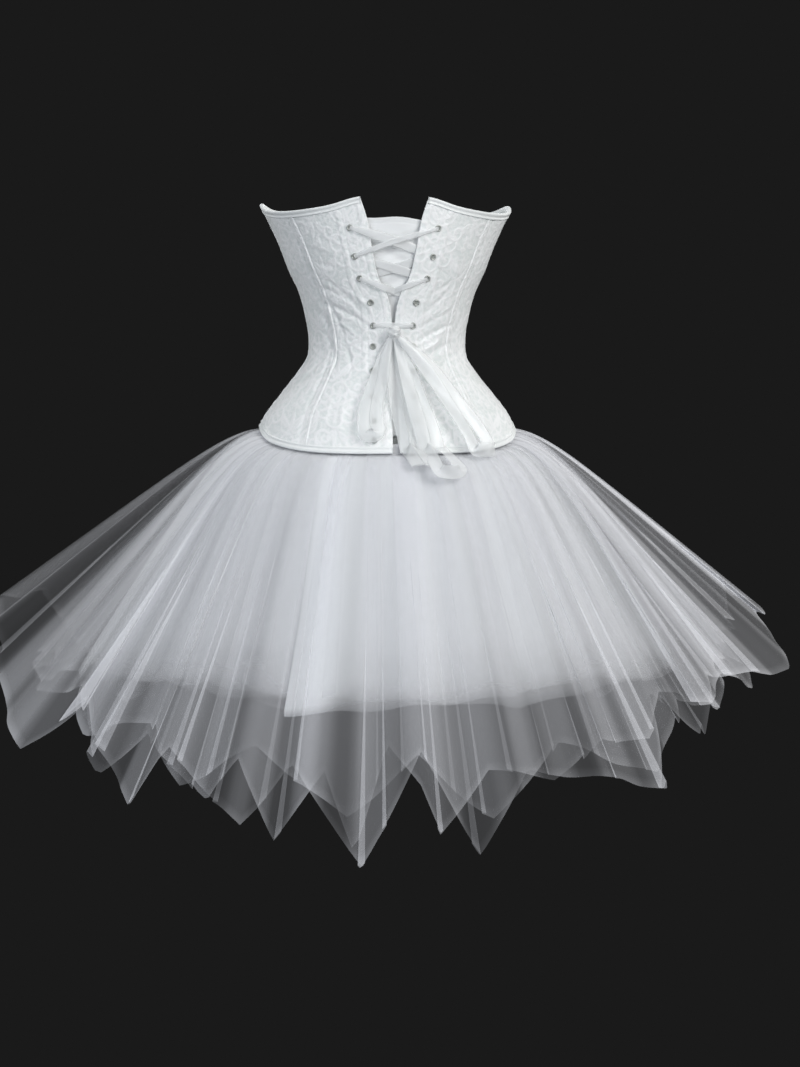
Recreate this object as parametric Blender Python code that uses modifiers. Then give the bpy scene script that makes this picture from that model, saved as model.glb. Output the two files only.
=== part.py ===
"""A strapless corset laced up its back, over a tulle skirt with pointed hems, held out as a wearer fills it.

The frame: +Z is up and the origin is the middle of the waist. The back faces -Y and the wearer's right
is +X. Angles go round the body in degrees from the centre back, through +X. Sizes are in millimetres
until mesh() turns them to metres. Each piece of cloth is a wall between an outer and an inner grid of
points of one surface.
"""

import bpy
import numpy as np
from mathutils import Matrix, Vector

MM = 0.001

# Driving dimensions of the corset
CLOTH = 2.0  # wall of the boned corset
SEAM_GAP = 0.3  # between neighbours
BODY = np.array([  # height, half width, depth behind the axis, depth in front of it
    (-170, 197, 134, 134),
    (-123, 179, 119, 120),
    (-105, 171, 112, 115),
    (-73, 147, 100, 106),
    (-48, 127, 92, 98),
    (-25, 112, 86, 92),
    (0, 109, 84, 90),
    (29, 113, 87, 97),
    (64, 122, 93, 114),
    (95, 136, 98, 128),
    (136, 152, 103, 140),
    (176, 171, 106, 143),
    (205, 184, 108, 140),
], dtype=float)
TOP_EDGE = np.array([  # angle, height
    (0, 188), (16, 186), (30, 176), (45, 171), (60, 170), (75, 173), (90, 180), (97, 186),
    (115, 182), (140, 180), (160, 166), (180, 152),
], dtype=float)
HEM_EDGE = np.array([  # angle, height
    (0, -153), (20, -153), (40, -150), (60, -141), (90, -119), (130, -132), (160, -146), (180, -152),
], dtype=float)
BACK_GAP = np.array([  # height, half of the laced opening's width
    (-170, 5), (-110, 4), (-60, 3), (0, 2), (24, 2), (55, 8), (79, 20), (115, 29), (159, 37), (205, 53),
], dtype=float)
BACK_SEAM = np.array([  # height, angle of the curved seam between back and side
    (-160, 40), (-60, 42), (0, 45), (90, 51), (190, 56),
], dtype=float)
FRONT_SEAM = 122.0  # angle of the seam between side and front
BACK_COLUMNS, SIDE_COLUMNS, FRONT_COLUMNS = 8, 12, 20
CORSET_LEVELS = (-153, -118, -88, -63, -41, -20, 0, 20, 42, 70, 105, 145, 186)  # rows, at the back corner

# Satin binding, folded over the edge
BINDING = 1.0
BINDING_HEIGHT = 7.0

# Panel behind the lacing
MODESTY_INSET = 6.6
MODESTY_CLOTH = 1.5
MODESTY_HALF_WIDTH = 62.0
MODESTY_HEIGHTS = (-128.0, 157.0)
MODESTY_COLUMNS, MODESTY_ROWS = 11, 12

# Eyelets and the ribbon laced through them
EYELET_HEIGHTS = (147, 109, 80, 48, 17, -11, -44, -79, -111, -137)
EYELET_INSET = 25.0  # from the panel's back edge
EYELET_RADIUS = 3.7
EYELET_WIRE = 0.8
RIBBON = 1.0
RIBBON_WIDTH = 9.0
OUTSIDE_LIFT = SEAM_GAP + 2 * EYELET_WIRE + SEAM_GAP + RIBBON / 2
INSIDE_GAP = 1.0  # from the wall, which bends at the waist under the ribbon's width
INSIDE_LIFT = -(CLOTH + INSIDE_GAP + RIBBON / 2)
CROSS_LIFT = RIBBON + SEAM_GAP
STRETCHES = (  # name, row and side at its start, row and side at its end, level: 1 outside, -1 inside, rise
    ("lace_1_left", 1, -1, 2, 1, 1, 0),
    ("lace_1_right", 1, 1, 2, -1, 1, 1),
    ("lace_2_left", 2, -1, 3, 1, -1, 0),
    ("lace_2_right", 2, 1, 3, -1, -1, 1),
    ("lace_3_left", 3, -1, 4, 1, 1, 1),
    ("lace_3_right", 3, 1, 4, -1, 1, 0),
    ("lace_5_across", 5, -1, 5, 1, 1, 0),
    ("lace_6_left", 6, -1, 7, 1, -1, 0),
    ("lace_6_right", 6, 1, 7, -1, -1, 1),
    ("lace_8_left", 8, -1, 9, 1, -1, 0),
    ("lace_8_right", 8, 1, 9, -1, -1, 1),
)
STRETCH_STEPS = 6
NARROWED = 0.6  # a stretch's width at its eyelets, as a share of the ribbon's
KNOT_HEIGHT = 9.0
KNOT_SIZE = (18.0, 18.0, 14.0)  # across, out, up
KNOT_LIFT = 4.6
KNOT_ROUNDING = 1.5
TAILS = (  # name, sideways at the knot, halfway and at the end, length, lift, 1 for a loop that comes back up
    ("ribbon_tail_left", -3, -2, 20, 208, 7.0, 0),
    ("ribbon_tail_right", 3, 14, 36, 206, 8.6, 0),
    ("ribbon_loop_left", -4, -31, -42, 133, 10.2, 1),
    ("ribbon_loop_middle", 1, 44, 62, 196, 14.4, 1),
    ("ribbon_loop_right", 4, 80, 118, 160, 18.6, 1),
)
TAIL_WIDTH = 13.0  # the ribbon lies open here, and is pulled narrow in the lacing
TAIL_NARROWED = 0.7  # its width at the knot, as a share of that
TAIL_STEPS = 11
LOOP_GAP = 2.6

# The skirt: walls of tulle hung from a band inside the corset's hem
TULLE = 1.2
HOLD_ABOVE = 12.0  # how far up inside the corset the layers start
HOLD_BELOW = 2.5  # where they clear its edge and spring out
SPRING_SLOPE = 4.0  # degrees below level as they leave the edge
SPRING_LENGTH = 42.0
SKIRT_DEPTH, SKIRT_TICKS = 700.0, 160  # the slope is summed over more than any layer's length
OUT_PER_DOWN = 0.6  # how fast the skirt widens, for the gaps between its widths
FOLDS = 30
FOLD_DEPTH = 17.0  # at FOLD_REACH from the edge
FOLD_REACH = 500.0
FOLD_LEAST = 0.4  # the weakest fold, as a share of the strongest
COLUMNS_ROUND = 90
ROWS_DOWN = (-HOLD_ABOVE - HOLD_BELOW, 0, 35, 85, 160)  # the same in each layer, so that none cuts the next
BAND_INSET = 9.5
BAND_WALL = 2.0
BAND_STEP = 8.0  # degrees
BAND_RISE = 2.0  # over the corset's edge
UNDER = np.array([  # angle, length, slope at the hem
    (0, 408, 63), (60, 412, 62), (92, 420, 60), (120, 415, 61), (180, 408, 63),
    (240, 415, 61), (272, 420, 60), (300, 412, 62), (360, 408, 63),
], dtype=float)
MIDDLE = np.array([
    (0, 493, 59), (4, 553, 59), (8, 473, 59), (20, 493, 58), (28, 453, 57), (36, 467, 57), (44, 413, 56),
    (56, 460, 55), (68, 440, 52), (80, 500, 50), (92, 440, 49), (104, 500, 49), (120, 450, 52),
    (136, 540, 55), (152, 470, 56), (168, 550, 58), (180, 480, 59), (192, 550, 58), (208, 470, 56),
    (224, 540, 54), (240, 450, 51), (252, 500, 49), (268, 440, 49), (288, 470, 51), (300, 430, 53),
    (312, 527, 55), (320, 453, 56), (332, 520, 58), (336, 467, 58), (344, 560, 59), (348, 473, 59),
    (352, 573, 59), (356, 433, 59), (360, 493, 59),
], dtype=float)
OUTER = np.array([
    (0, 460, 56), (8, 587, 56), (12, 487, 56), (20, 500, 55), (32, 540, 54), (36, 415, 53), (44, 493, 51),
    (52, 427, 49), (68, 500, 43), (80, 450, 40), (92, 413, 39), (108, 510, 42), (120, 450, 45),
    (136, 530, 49), (152, 460, 53), (168, 550, 55), (180, 490, 56), (192, 550, 55), (208, 460, 53),
    (224, 530, 49), (240, 450, 44), (252, 410, 39), (264, 440, 36), (284, 462, 41), (304, 547, 48),
    (308, 450, 50), (324, 560, 54), (328, 473, 54), (340, 560, 55), (344, 473, 55), (352, 600, 56),
    (360, 460, 56),
], dtype=float)
LAYERS = (  # name, inset inside the corset, hem table, widths
    ("outer", 3.8, OUTER, 5),
    ("middle", 5.9, MIDDLE, 5),
    ("under", 8.0, UNDER, 3),
)

SATIN = ("satin", (0.86, 0.88, 0.88), 0.35, 0.0)
BROCADE = ("brocade", (0.80, 0.83, 0.82), 0.6, 0.0)
NET = ("net", (0.72, 0.73, 0.78), 0.8, 0.0)
NICKEL = ("nickel", (0.5, 0.51, 0.5), 0.35, 1.0)


def smooth(x, table, column):
    """A cubic through the table's rows, each row's slope taken from its two neighbours."""
    xs, ys = table[:, 0], table[:, column]
    slopes = np.gradient(ys, xs)
    x = np.clip(x, xs[0], xs[-1])
    i = np.clip(np.searchsorted(xs, x) - 1, 0, len(xs) - 2)
    width = xs[i + 1] - xs[i]
    t = (x - xs[i]) / width
    first, last = (1 + 2 * t) * (1 - t) ** 2, t * t * (3 - 2 * t)
    return (
        first * ys[i] + last * ys[i + 1]
        + width * (t * (1 - t) ** 2 * slopes[i] + t * t * (t - 1) * slopes[i + 1])
    )


def turned(angle):
    """The angle's distance from the centre back, 0 to 180."""
    return np.abs((np.asarray(angle, float) + 180) % 360 - 180)


def body_section(angle, height):
    """An ellipse at each height, its back and front halves of unlike depths."""
    a = np.radians(angle)
    half = smooth(height, BODY, 1)
    depth = np.where(np.cos(a) >= 0, smooth(height, BODY, 2), smooth(height, BODY, 3))
    return np.stack([half * np.sin(a), -depth * np.cos(a), height + 0 * a], axis=-1)


def edges_at(angle):
    """Heights of the corset's hem and top edge at an angle."""
    away = turned(angle)
    return smooth(away, HEM_EDGE, 1), smooth(away, TOP_EDGE, 1)


def corset_surface(angle, height):
    """Outer face of the corset, straight between one row of its panels and the next, so that what is made
    from it lies on the panels' own faces. Past the edges it goes on straight."""
    angle, height = np.broadcast_arrays(np.asarray(angle, float), np.asarray(height, float))
    low, high = edges_at(angle)
    rows = (np.array(CORSET_LEVELS, float) - CORSET_LEVELS[0]) / (CORSET_LEVELS[-1] - CORSET_LEVELS[0])
    row = np.clip(np.searchsorted(rows, (height - low) / (high - low)) - 1, 0, len(rows) - 2)
    below, above = low + rows[row] * (high - low), low + rows[row + 1] * (high - low)
    share = ((height - below) / (above - below))[..., None]
    return body_section(angle, below) * (1 - share) + body_section(angle, above) * share


def moved_out(surface, u, v, distance):
    """The surface's points moved along its outward normal. A zero normal never occurs on these surfaces."""
    step = 0.02
    along_u = surface(u + step, v) - surface(u - step, v)
    along_v = surface(u, v + step) - surface(u, v - step)
    normal = np.cross(along_u, along_v)
    normal /= np.linalg.norm(normal, axis=-1, keepdims=True)
    return surface(u, v) + normal * np.asarray(distance)[..., None]


def on_corset(angle, height, distance):
    return moved_out(corset_surface, angle, height, distance)


def edge_angle(height):
    """Angle of the laced edge at a height, from the opening's half width."""
    return np.degrees(np.arcsin(smooth(height, BACK_GAP, 1) / smooth(height, BODY, 1)))


def mesh(name, points, faces, finish, parent):
    """Makes the named object from points in millimetres."""
    made = bpy.data.meshes.new(name)
    made.from_pydata([tuple(p) for p in points * MM], [], faces)
    made.validate()
    thing = bpy.data.objects.new(name, made)
    parent.objects.link(thing)
    coat(thing, finish)
    return thing


def coat(thing, finish):
    name, colour, roughness, metallic = finish
    stuff = bpy.data.materials.new(f"{thing.name}_{name}")
    stuff.use_nodes = True
    shader = stuff.node_tree.nodes["Principled BSDF"]
    shader.inputs["Base Color"].default_value = (*colour, 1)
    shader.inputs["Roughness"].default_value = roughness
    shader.inputs["Metallic"].default_value = metallic
    thing.data.materials.append(stuff)


def wall(name, outer, inner, finish, parent, ring=False):
    """A closed wall between two grids, rows going up or down and columns round. A ring has no end faces."""
    rows, columns = outer.shape[:2]
    count = rows * columns
    across = range(columns if ring else columns - 1)
    faces = []
    for r in range(rows - 1):
        for c in across:
            a, b = r * columns + c, r * columns + (c + 1) % columns
            d, e = a + columns, b + columns
            faces.append((a, b, e, d))
            faces.append((count + a, count + d, count + e, count + b))
    for c in across:
        a, b = c, (c + 1) % columns
        faces.append((a, count + a, count + b, b))
        a, b = a + count - columns, b + count - columns
        faces.append((a, b, count + b, count + a))
    if not ring:
        for r in range(rows - 1):
            a = r * columns
            faces.append((a, a + columns, count + a + columns, count + a))
            a += columns - 1
            faces.append((a, count + a, count + a + columns, a + columns))
    points = np.concatenate([outer.reshape(-1, 3), inner.reshape(-1, 3)])
    return mesh(name, points, faces, finish, parent)


def swept(name, sections, finish, parent):
    """A solid through closed sections of equal corner counts, with its two ends capped."""
    steps, corners = sections.shape[:2]
    faces = [
        (s * corners + k, s * corners + (k + 1) % corners,
         (s + 1) * corners + (k + 1) % corners, (s + 1) * corners + k)
        for s in range(steps - 1) for k in range(corners)
    ]
    faces.append(tuple(reversed(range(corners))))
    faces.append(tuple(range((steps - 1) * corners, steps * corners)))
    return mesh(name, sections.reshape(-1, 3), faces, finish, parent)


def panel_angles(level):
    """The angles of each panel's columns at a level, by name, from the right laced edge round to the left."""
    back, seam, front = edge_angle(level), smooth(level, BACK_SEAM, 1), FRONT_SEAM + 0 * level
    inset = np.degrees(SEAM_GAP / 2 / smooth(level, BODY, 2))
    spans = (
        ("back_right", back, seam, BACK_COLUMNS),
        ("side_right", seam, front, SIDE_COLUMNS),
        ("front", front, 360 - front, FRONT_COLUMNS),
        ("side_left", 360 - front, 360 - seam, SIDE_COLUMNS),
        ("back_left", 360 - seam, 360 - back, BACK_COLUMNS),
    )
    return {
        name: np.linspace(start + inset, end - inset, columns + 1, axis=-1)
        for name, start, end, columns in spans
    }


def corset_panels(parent):
    """Five walls from hem to top edge, with the same rows, so that the seams meet."""
    levels = np.array(CORSET_LEVELS, float)
    up = ((levels - levels[0]) / (levels[-1] - levels[0]))[:, None]
    for name, angle in panel_angles(levels).items():
        low, high = edges_at(angle)
        height = low * (1 - up) + high * up
        outer = on_corset(angle, height, 0 * height)
        inner = on_corset(angle, height, 0 * height - CLOTH)
        wall(name, outer, inner, BROCADE, parent)


def binding(name, level, edge, up, parent):
    """A U of satin over an edge: its section's corners as (out, up past the edge), carried from one back
    corner round the front to the other on the panels' own columns. up is 1 on the top edge, -1 on the hem."""
    clear, whole = SEAM_GAP, SEAM_GAP + BINDING
    corners = [
        (clear, -BINDING_HEIGHT), (whole, -BINDING_HEIGHT), (whole, whole), (-CLOTH - whole, whole),
        (-CLOTH - whole, -BINDING_HEIGHT), (-CLOTH - clear, -BINDING_HEIGHT), (-CLOTH - clear, clear),
        (clear, clear),
    ]
    spans = list(panel_angles(np.array(float(level))).values())
    angle = np.concatenate([spans[0][:1], *[span[1:] for span in spans]])
    height = smooth(turned(angle), edge, 1)
    sections = np.stack(
        [on_corset(angle, height + up * rise, out + 0 * angle) for out, rise in corners], axis=1)
    if up > 0:
        sections = sections[:, ::-1]
    swept(name, sections, SATIN, parent)


def modesty_panel(parent):
    across = np.linspace(-1, 1, MODESTY_COLUMNS)[None, :]
    height = np.linspace(*MODESTY_HEIGHTS, MODESTY_ROWS)[:, None]
    angle = np.degrees(np.arcsin(across * MODESTY_HALF_WIDTH / smooth(height, BODY, 1)))
    height = height + 0 * angle
    outer = on_corset(angle, height, 0 * height - MODESTY_INSET)
    inner = on_corset(angle, height, 0 * height - MODESTY_INSET - MODESTY_CLOTH)
    wall("modesty_panel", outer, inner, BROCADE, parent)


def eyelet_place(row, side):
    """Angle and height of an eyelet, set in from the laced edge."""
    height = float(EYELET_HEIGHTS[row - 1])
    sideways = smooth(height, BACK_GAP, 1) + EYELET_INSET
    return side * float(np.degrees(np.arcsin(sideways / smooth(height, BODY, 1)))), height


def eyelets(parent):
    for row in range(1, len(EYELET_HEIGHTS) + 1):
        for side, word in ((-1, "left"), (1, "right")):
            angle, height = eyelet_place(row, side)
            seat = on_corset(np.array(angle), np.array(height), np.array(0.0))
            centre = on_corset(np.array(angle), np.array(height), np.array(SEAM_GAP + EYELET_WIRE))
            bpy.ops.mesh.primitive_torus_add(
                major_radius=EYELET_RADIUS * MM, minor_radius=EYELET_WIRE * MM,
                major_segments=10, minor_segments=4,
            )
            ring = bpy.context.object
            ring.name = ring.data.name = f"eyelet_{word}_{row:02d}"
            turn = Vector(centre - seat).to_track_quat("Z", "Y").to_matrix().to_4x4()
            ring.matrix_world = Matrix.Translation(Vector(centre * MM)) @ turn
            coat(ring, NICKEL)
            for holder in ring.users_collection:
                holder.objects.unlink(ring)
            parent.objects.link(ring)


def ribbon_sections(path, sideways, outward, width):
    """Flat sections of ribbon at each point of a path."""
    half_wide = sideways * width[:, None] / 2
    half_thick = outward * RIBBON / 2
    return np.stack([
        path - half_wide - half_thick, path + half_wide - half_thick,
        path + half_wide + half_thick, path - half_wide + half_thick,
    ], axis=1)


def unit(vectors):
    return vectors / np.linalg.norm(vectors, axis=-1, keepdims=True)


def lacing(parent):
    """Each stretch runs from eyelet to eyelet along the corset's curve, one of a pair over the other."""
    share = np.linspace(0, 1, STRETCH_STEPS + 1)
    for name, row, side, to_row, to_side, level, rise in STRETCHES:
        (angle_a, height_a), (angle_b, height_b) = eyelet_place(row, side), eyelet_place(to_row, to_side)
        angle = angle_a * (1 - share) + angle_b * share
        height = height_a * (1 - share) + height_b * share
        base = OUTSIDE_LIFT if level > 0 else INSIDE_LIFT
        lift = base + level * rise * CROSS_LIFT * np.minimum(1, 2 * np.sin(np.pi * share) ** 2)
        path = on_corset(angle, height, lift)
        outward = unit(on_corset(angle, height, lift + 1) - path)
        sideways = unit(np.cross(outward, np.gradient(path, axis=0)))
        width = RIBBON_WIDTH * (NARROWED + (1 - NARROWED) * np.sin(np.pi * share))
        swept(name, ribbon_sections(path, sideways, outward, width), SATIN, parent)


def hem_at(angle, table, column):
    return np.interp(np.asarray(angle, float) % 360, table[:, 0], table[:, column])


def fold_wave(angle):
    """Uneven folds round the skirt, from -1 in a trough to 1 on a crest. Each crest is a third of a fold."""
    turn = np.radians(angle)
    spread = (1 - FOLD_LEAST) / 2
    strength = 1 - spread + spread * np.sin(3 * turn + 0.8) * np.cos(5 * turn)
    return strength * np.cos(FOLDS * turn)


def skirt_surface(table, inset):
    """A layer as a function of the angle round the body and the distance down from the corset's edge. Above
    the edge it lies inside the corset. Below, its slope goes from SPRING_SLOPE to the table's by an
    exponential, summed in small steps, and folds move it square to that slope."""

    def surface(angle, down):
        angle, down = np.broadcast_arrays(np.asarray(angle, float), np.asarray(down, float))
        turn = np.radians(angle)
        seat_angle = np.degrees(np.arctan2(BODY[1, 1] * np.sin(turn), BODY[1, 2] * np.cos(turn)))
        edge = smooth(turned(seat_angle), HEM_EDGE, 1)
        held = np.minimum(down, 0)
        seat = on_corset(seat_angle, edge - HOLD_BELOW - held, 0 * edge - inset)
        slope_end = hem_at(angle, table, 2)
        tick = SKIRT_DEPTH / SKIRT_TICKS
        at = (np.arange(SKIRT_TICKS) + 0.5) * tick
        spring = (slope_end[..., None] - SPRING_SLOPE) * np.exp(-at / SPRING_LENGTH)
        slope = np.radians(slope_end[..., None] - spring)
        free = np.clip(down, 0, SKIRT_DEPTH)[..., None]
        share = np.clip(free - np.arange(SKIRT_TICKS) * tick, 0, tick)
        out = (np.cos(slope) * share).sum(-1)
        fall = (np.sin(slope) * share).sum(-1)
        fold = fold_wave(angle) * FOLD_DEPTH * np.maximum(down, 0) / FOLD_REACH
        tilt = np.radians(slope_end)
        out = out + fold * np.sin(tilt)
        rise = fold * np.cos(tilt) - fall
        away = np.stack([np.sin(turn), -np.cos(turn), 0 * turn], axis=-1)
        return seat + away * out[..., None] + np.stack([0 * rise, 0 * rise, rise], axis=-1)

    return surface


def downwards(surface):
    """The same surface with its distance down first, so that its normal points outwards."""
    return lambda down, angle: surface(angle, down)


def skirt_layers(parent):
    for name, inset, table, widths in LAYERS:
        surface = skirt_surface(table, inset)
        columns = COLUMNS_ROUND // widths
        for part in range(widths):
            start, end = 360 * part / widths, 360 * (part + 1) / widths
            angle = np.linspace(start, end, columns + 1)[None, :]
            length = hem_at(angle, table, 1)
            down = np.concatenate([np.array(ROWS_DOWN)[:, None] + 0 * length, length])
            angle = angle + 0 * down
            radius = BODY[1, 2] + np.maximum(down, 0) * OUT_PER_DOWN
            away = np.degrees(SEAM_GAP / 2 / radius)
            angle[:, 0] += away[:, 0]
            angle[:, -1] -= away[:, -1]
            outer = moved_out(downwards(surface), down, angle, 0 * down)
            inner = moved_out(downwards(surface), down, angle, 0 * down - TULLE)
            wall(f"{name}_{part + 1}", outer[::-1], inner[::-1], NET, parent)


def skirt_band(parent):
    angle = np.arange(0, 360, BAND_STEP)[None, :]
    edge = smooth(turned(angle), HEM_EDGE, 1)
    height = np.concatenate([edge + BAND_RISE, edge + BAND_RISE + HOLD_ABOVE])
    angle = angle + 0 * height
    outer = on_corset(angle, height, 0 * height - BAND_INSET)
    inner = on_corset(angle, height, 0 * height - BAND_INSET - BAND_WALL)
    wall("skirt_band", outer, inner, SATIN, parent, ring=True)


def back_drop(sideways, down, lift):
    """A point hanging down the back from the knot: over the corset, and past its hem over the outer layer.
    The lift is level, so that all strands leave the knot at one height."""
    reach = KNOT_HEIGHT - HEM_EDGE[0, 1] + HOLD_BELOW
    height = KNOT_HEIGHT - np.minimum(down, reach)
    angle = np.degrees(np.arcsin(sideways / smooth(height, BODY, 1)))
    across = np.radians(angle)
    level_out = np.stack([np.sin(across), -np.cos(across), 0 * across], axis=-1)
    over = corset_surface(angle, height) + level_out * np.asarray(lift)[..., None]
    surface = downwards(skirt_surface(OUTER, LAYERS[0][1]))
    past = np.maximum(down - reach, 0)
    skirt_angle = np.degrees(np.arctan2(np.sin(across) * BODY[1, 2], BODY[1, 1] * np.cos(across)))
    start = 0.05  # just past the edge, where the surface has one slope
    return over + moved_out(surface, past + start, skirt_angle, lift) - moved_out(
        surface, 0 * past + start, skirt_angle, lift)


def bow(parent):
    knot_middle = corset_surface(0, KNOT_HEIGHT) - np.array([0, KNOT_LIFT + KNOT_SIZE[1] / 2, 0])
    bpy.ops.mesh.primitive_cube_add(size=1)
    knot = bpy.context.object
    knot.name = knot.data.name = "bow_knot"
    knot.data.transform(Matrix.Diagonal((*[v * MM for v in KNOT_SIZE], 1)))
    knot.location = knot_middle * MM
    soft = knot.modifiers.new("soft edges", "BEVEL")
    soft.width, soft.segments = KNOT_ROUNDING * MM, 1
    coat(knot, SATIN)
    for holder in knot.users_collection:
        holder.objects.unlink(knot)
    parent.objects.link(knot)

    start = KNOT_SIZE[2] / 2 + SEAM_GAP
    for name, at_knot, halfway, at_end, length, lift, looped in TAILS:
        share = np.linspace(0, 1, TAIL_STEPS + 1)
        sideways = at_knot * (1 - share) ** 2 + 2 * share * (1 - share) * halfway + at_end * share ** 2
        down = start + (length - start) * share
        width = TAIL_WIDTH * (TAIL_NARROWED + (1 - TAIL_NARROWED) * np.minimum(1, 4 * share))
        lifts = lift + 0 * share
        if looped:
            turn = np.radians((45, 90, 135))
            sideways = np.concatenate([sideways, at_end + 0 * turn, sideways[::-1]])
            lifts = np.concatenate([lifts, lift + LOOP_GAP / 2 * (1 - np.cos(turn)), lifts + LOOP_GAP])
            down = np.concatenate([down, length + LOOP_GAP / 2 * np.sin(turn), down[::-1]])
            width = np.concatenate([width, width[-1] + 0 * turn, width[::-1]])
        path = back_drop(sideways, down, lifts)
        along = unit(np.gradient(path, axis=0))
        across = unit(back_drop(sideways + 0.5, down, lifts) - path)
        swept(name, ribbon_sections(path, across, unit(np.cross(along, across)), width), SATIN, parent)


def build():
    for old in list(bpy.data.objects):
        bpy.data.objects.remove(old, do_unlink=True)
    costume = bpy.data.collections.new("swan_costume")
    bpy.context.scene.collection.children.link(costume)
    corset_panels(costume)
    binding("top_binding", CORSET_LEVELS[-1], TOP_EDGE, 1, costume)
    binding("hem_binding", CORSET_LEVELS[0], HEM_EDGE, -1, costume)
    modesty_panel(costume)
    eyelets(costume)
    lacing(costume)
    bow(costume)
    skirt_band(costume)
    skirt_layers(costume)


build()
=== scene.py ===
"""A strapless corset laced up its back, over a skirt of pointed tulle, dressed round its plain solids.

Sizes are in millimetres and angles in degrees round the body, from the centre back through the wearer's right
(+X), until a mesh is made in metres. Height is +Z from the waist.
"""

import bpy
import numpy as np
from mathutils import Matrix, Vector


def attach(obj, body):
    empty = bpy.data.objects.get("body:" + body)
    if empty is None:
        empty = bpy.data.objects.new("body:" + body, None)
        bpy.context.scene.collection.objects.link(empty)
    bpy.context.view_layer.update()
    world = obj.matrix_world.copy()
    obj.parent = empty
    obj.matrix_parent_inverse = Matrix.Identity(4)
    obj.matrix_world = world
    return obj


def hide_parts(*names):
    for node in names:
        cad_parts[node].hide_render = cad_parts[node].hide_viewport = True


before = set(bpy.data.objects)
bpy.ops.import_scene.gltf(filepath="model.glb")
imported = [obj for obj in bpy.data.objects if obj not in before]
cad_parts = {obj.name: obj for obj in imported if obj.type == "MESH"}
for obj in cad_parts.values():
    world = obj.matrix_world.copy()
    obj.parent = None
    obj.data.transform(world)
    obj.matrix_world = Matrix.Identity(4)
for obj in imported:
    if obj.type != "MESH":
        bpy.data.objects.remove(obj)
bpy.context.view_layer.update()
MM = 0.001


# The picture. The costume is seen from behind, a little from its left, against the plain dark of a studio
# cloth. A pale round floor lies below it, and wide soft lamps stand beside and above the camera.
def linear(colour):
    """A colour written as #rrggbb in sRGB, as linear red, green, blue and an alpha of 1."""
    shade = np.array([int(colour[i:i + 2], 16) for i in (1, 3, 5)]) / 255
    return (*np.where(shade <= 0.04045, shade / 12.92, ((shade + 0.055) / 1.055) ** 2.4).tolist(), 1.0)


scene = bpy.context.scene
scene.view_settings.view_transform = "Standard"
scene.cycles.transparent_max_bounces = 64

cloth_behind = bpy.data.worlds.new("studio cloth")
cloth_behind.use_nodes = True
cloth_behind.node_tree.nodes["Background"].inputs["Color"].default_value = linear("#1a1a1a")
scene.world = cloth_behind

VIEW_AZIMUTH = np.radians(-6.0)
VIEW_DISTANCE, VIEW_HEIGHT, AIM_HEIGHT, VIEW_SIDEWAYS = 2.8, -0.084, -0.270, 0.018
towards = Vector((np.sin(VIEW_AZIMUTH), -np.cos(VIEW_AZIMUTH), 0))
sideways = Vector((np.cos(VIEW_AZIMUTH), np.sin(VIEW_AZIMUTH), 0))
LENS, SENSOR_WIDTH = 67.5, 36.0
camera = bpy.data.objects.new("camera", bpy.data.cameras.new("camera"))
camera.data.lens = LENS
camera.data.sensor_width = SENSOR_WIDTH
camera.location = towards * VIEW_DISTANCE + sideways * VIEW_SIDEWAYS + Vector((0, 0, VIEW_HEIGHT))
camera.rotation_mode = "QUATERNION"
aim = sideways * VIEW_SIDEWAYS + Vector((0, 0, AIM_HEIGHT))
camera.rotation_quaternion = (aim - camera.location).to_track_quat("-Z", "Y")
scene.collection.objects.link(camera)
scene.camera = camera

LAMP_AIM = Vector((0, 0, -0.2))  # below the waist, so that corset and skirt are lit alike
LAMPS = (  # name, azimuth, distance m, height m, width m, watts, colour
    ("key lamp", 34, 2.7, 1.2, 1.3, 58, "#ffffff"),
    ("fill lamp", -42, 2.8, 0.5, 1.6, 27, "#f1f7ff"),
    ("low lamp", -4, 2.8, -0.9, 1.2, 9, "#f4f6ff"),
    ("far lamp", 180, 2.8, 0.8, 1.8, 28, "#f8faff"),
    ("top lamp", 0, 0.3, 2.4, 1.6, 20, "#ffffff"),
    ("left rim lamp", -118, 2.3, 0.5, 0.8, 12, "#ffffff"),
    ("right rim lamp", 118, 2.3, 0.5, 0.8, 12, "#ffffff"),
)
for name, azimuth, distance, height, width, watts, colour in LAMPS:
    lamp = bpy.data.objects.new(name, bpy.data.lights.new(name, "AREA"))
    lamp.data.size = width
    lamp.data.energy = watts
    lamp.data.color = linear(colour)[:3]
    turn = np.radians(azimuth)
    lamp.location = (distance * np.sin(turn), -distance * np.cos(turn), height)
    lamp.rotation_mode = "QUATERNION"
    lamp.rotation_quaternion = (LAMP_AIM - lamp.location).to_track_quat("-Z", "Y")
    lamp.visible_camera = False
    scene.collection.objects.link(lamp)


def grid_corners(rows, columns, ring=False):
    """Corner numbers of a grid's four-sided faces. A ring's last column is joined to its first."""
    row, column = np.meshgrid(np.arange(rows - 1), np.arange(columns if ring else columns - 1), indexing="ij")
    after = (column + 1) % columns
    return np.stack(
        [row * columns + column, row * columns + after, (row + 1) * columns + after,
         (row + 1) * columns + column], axis=-1).reshape(-1, 4)


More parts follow.
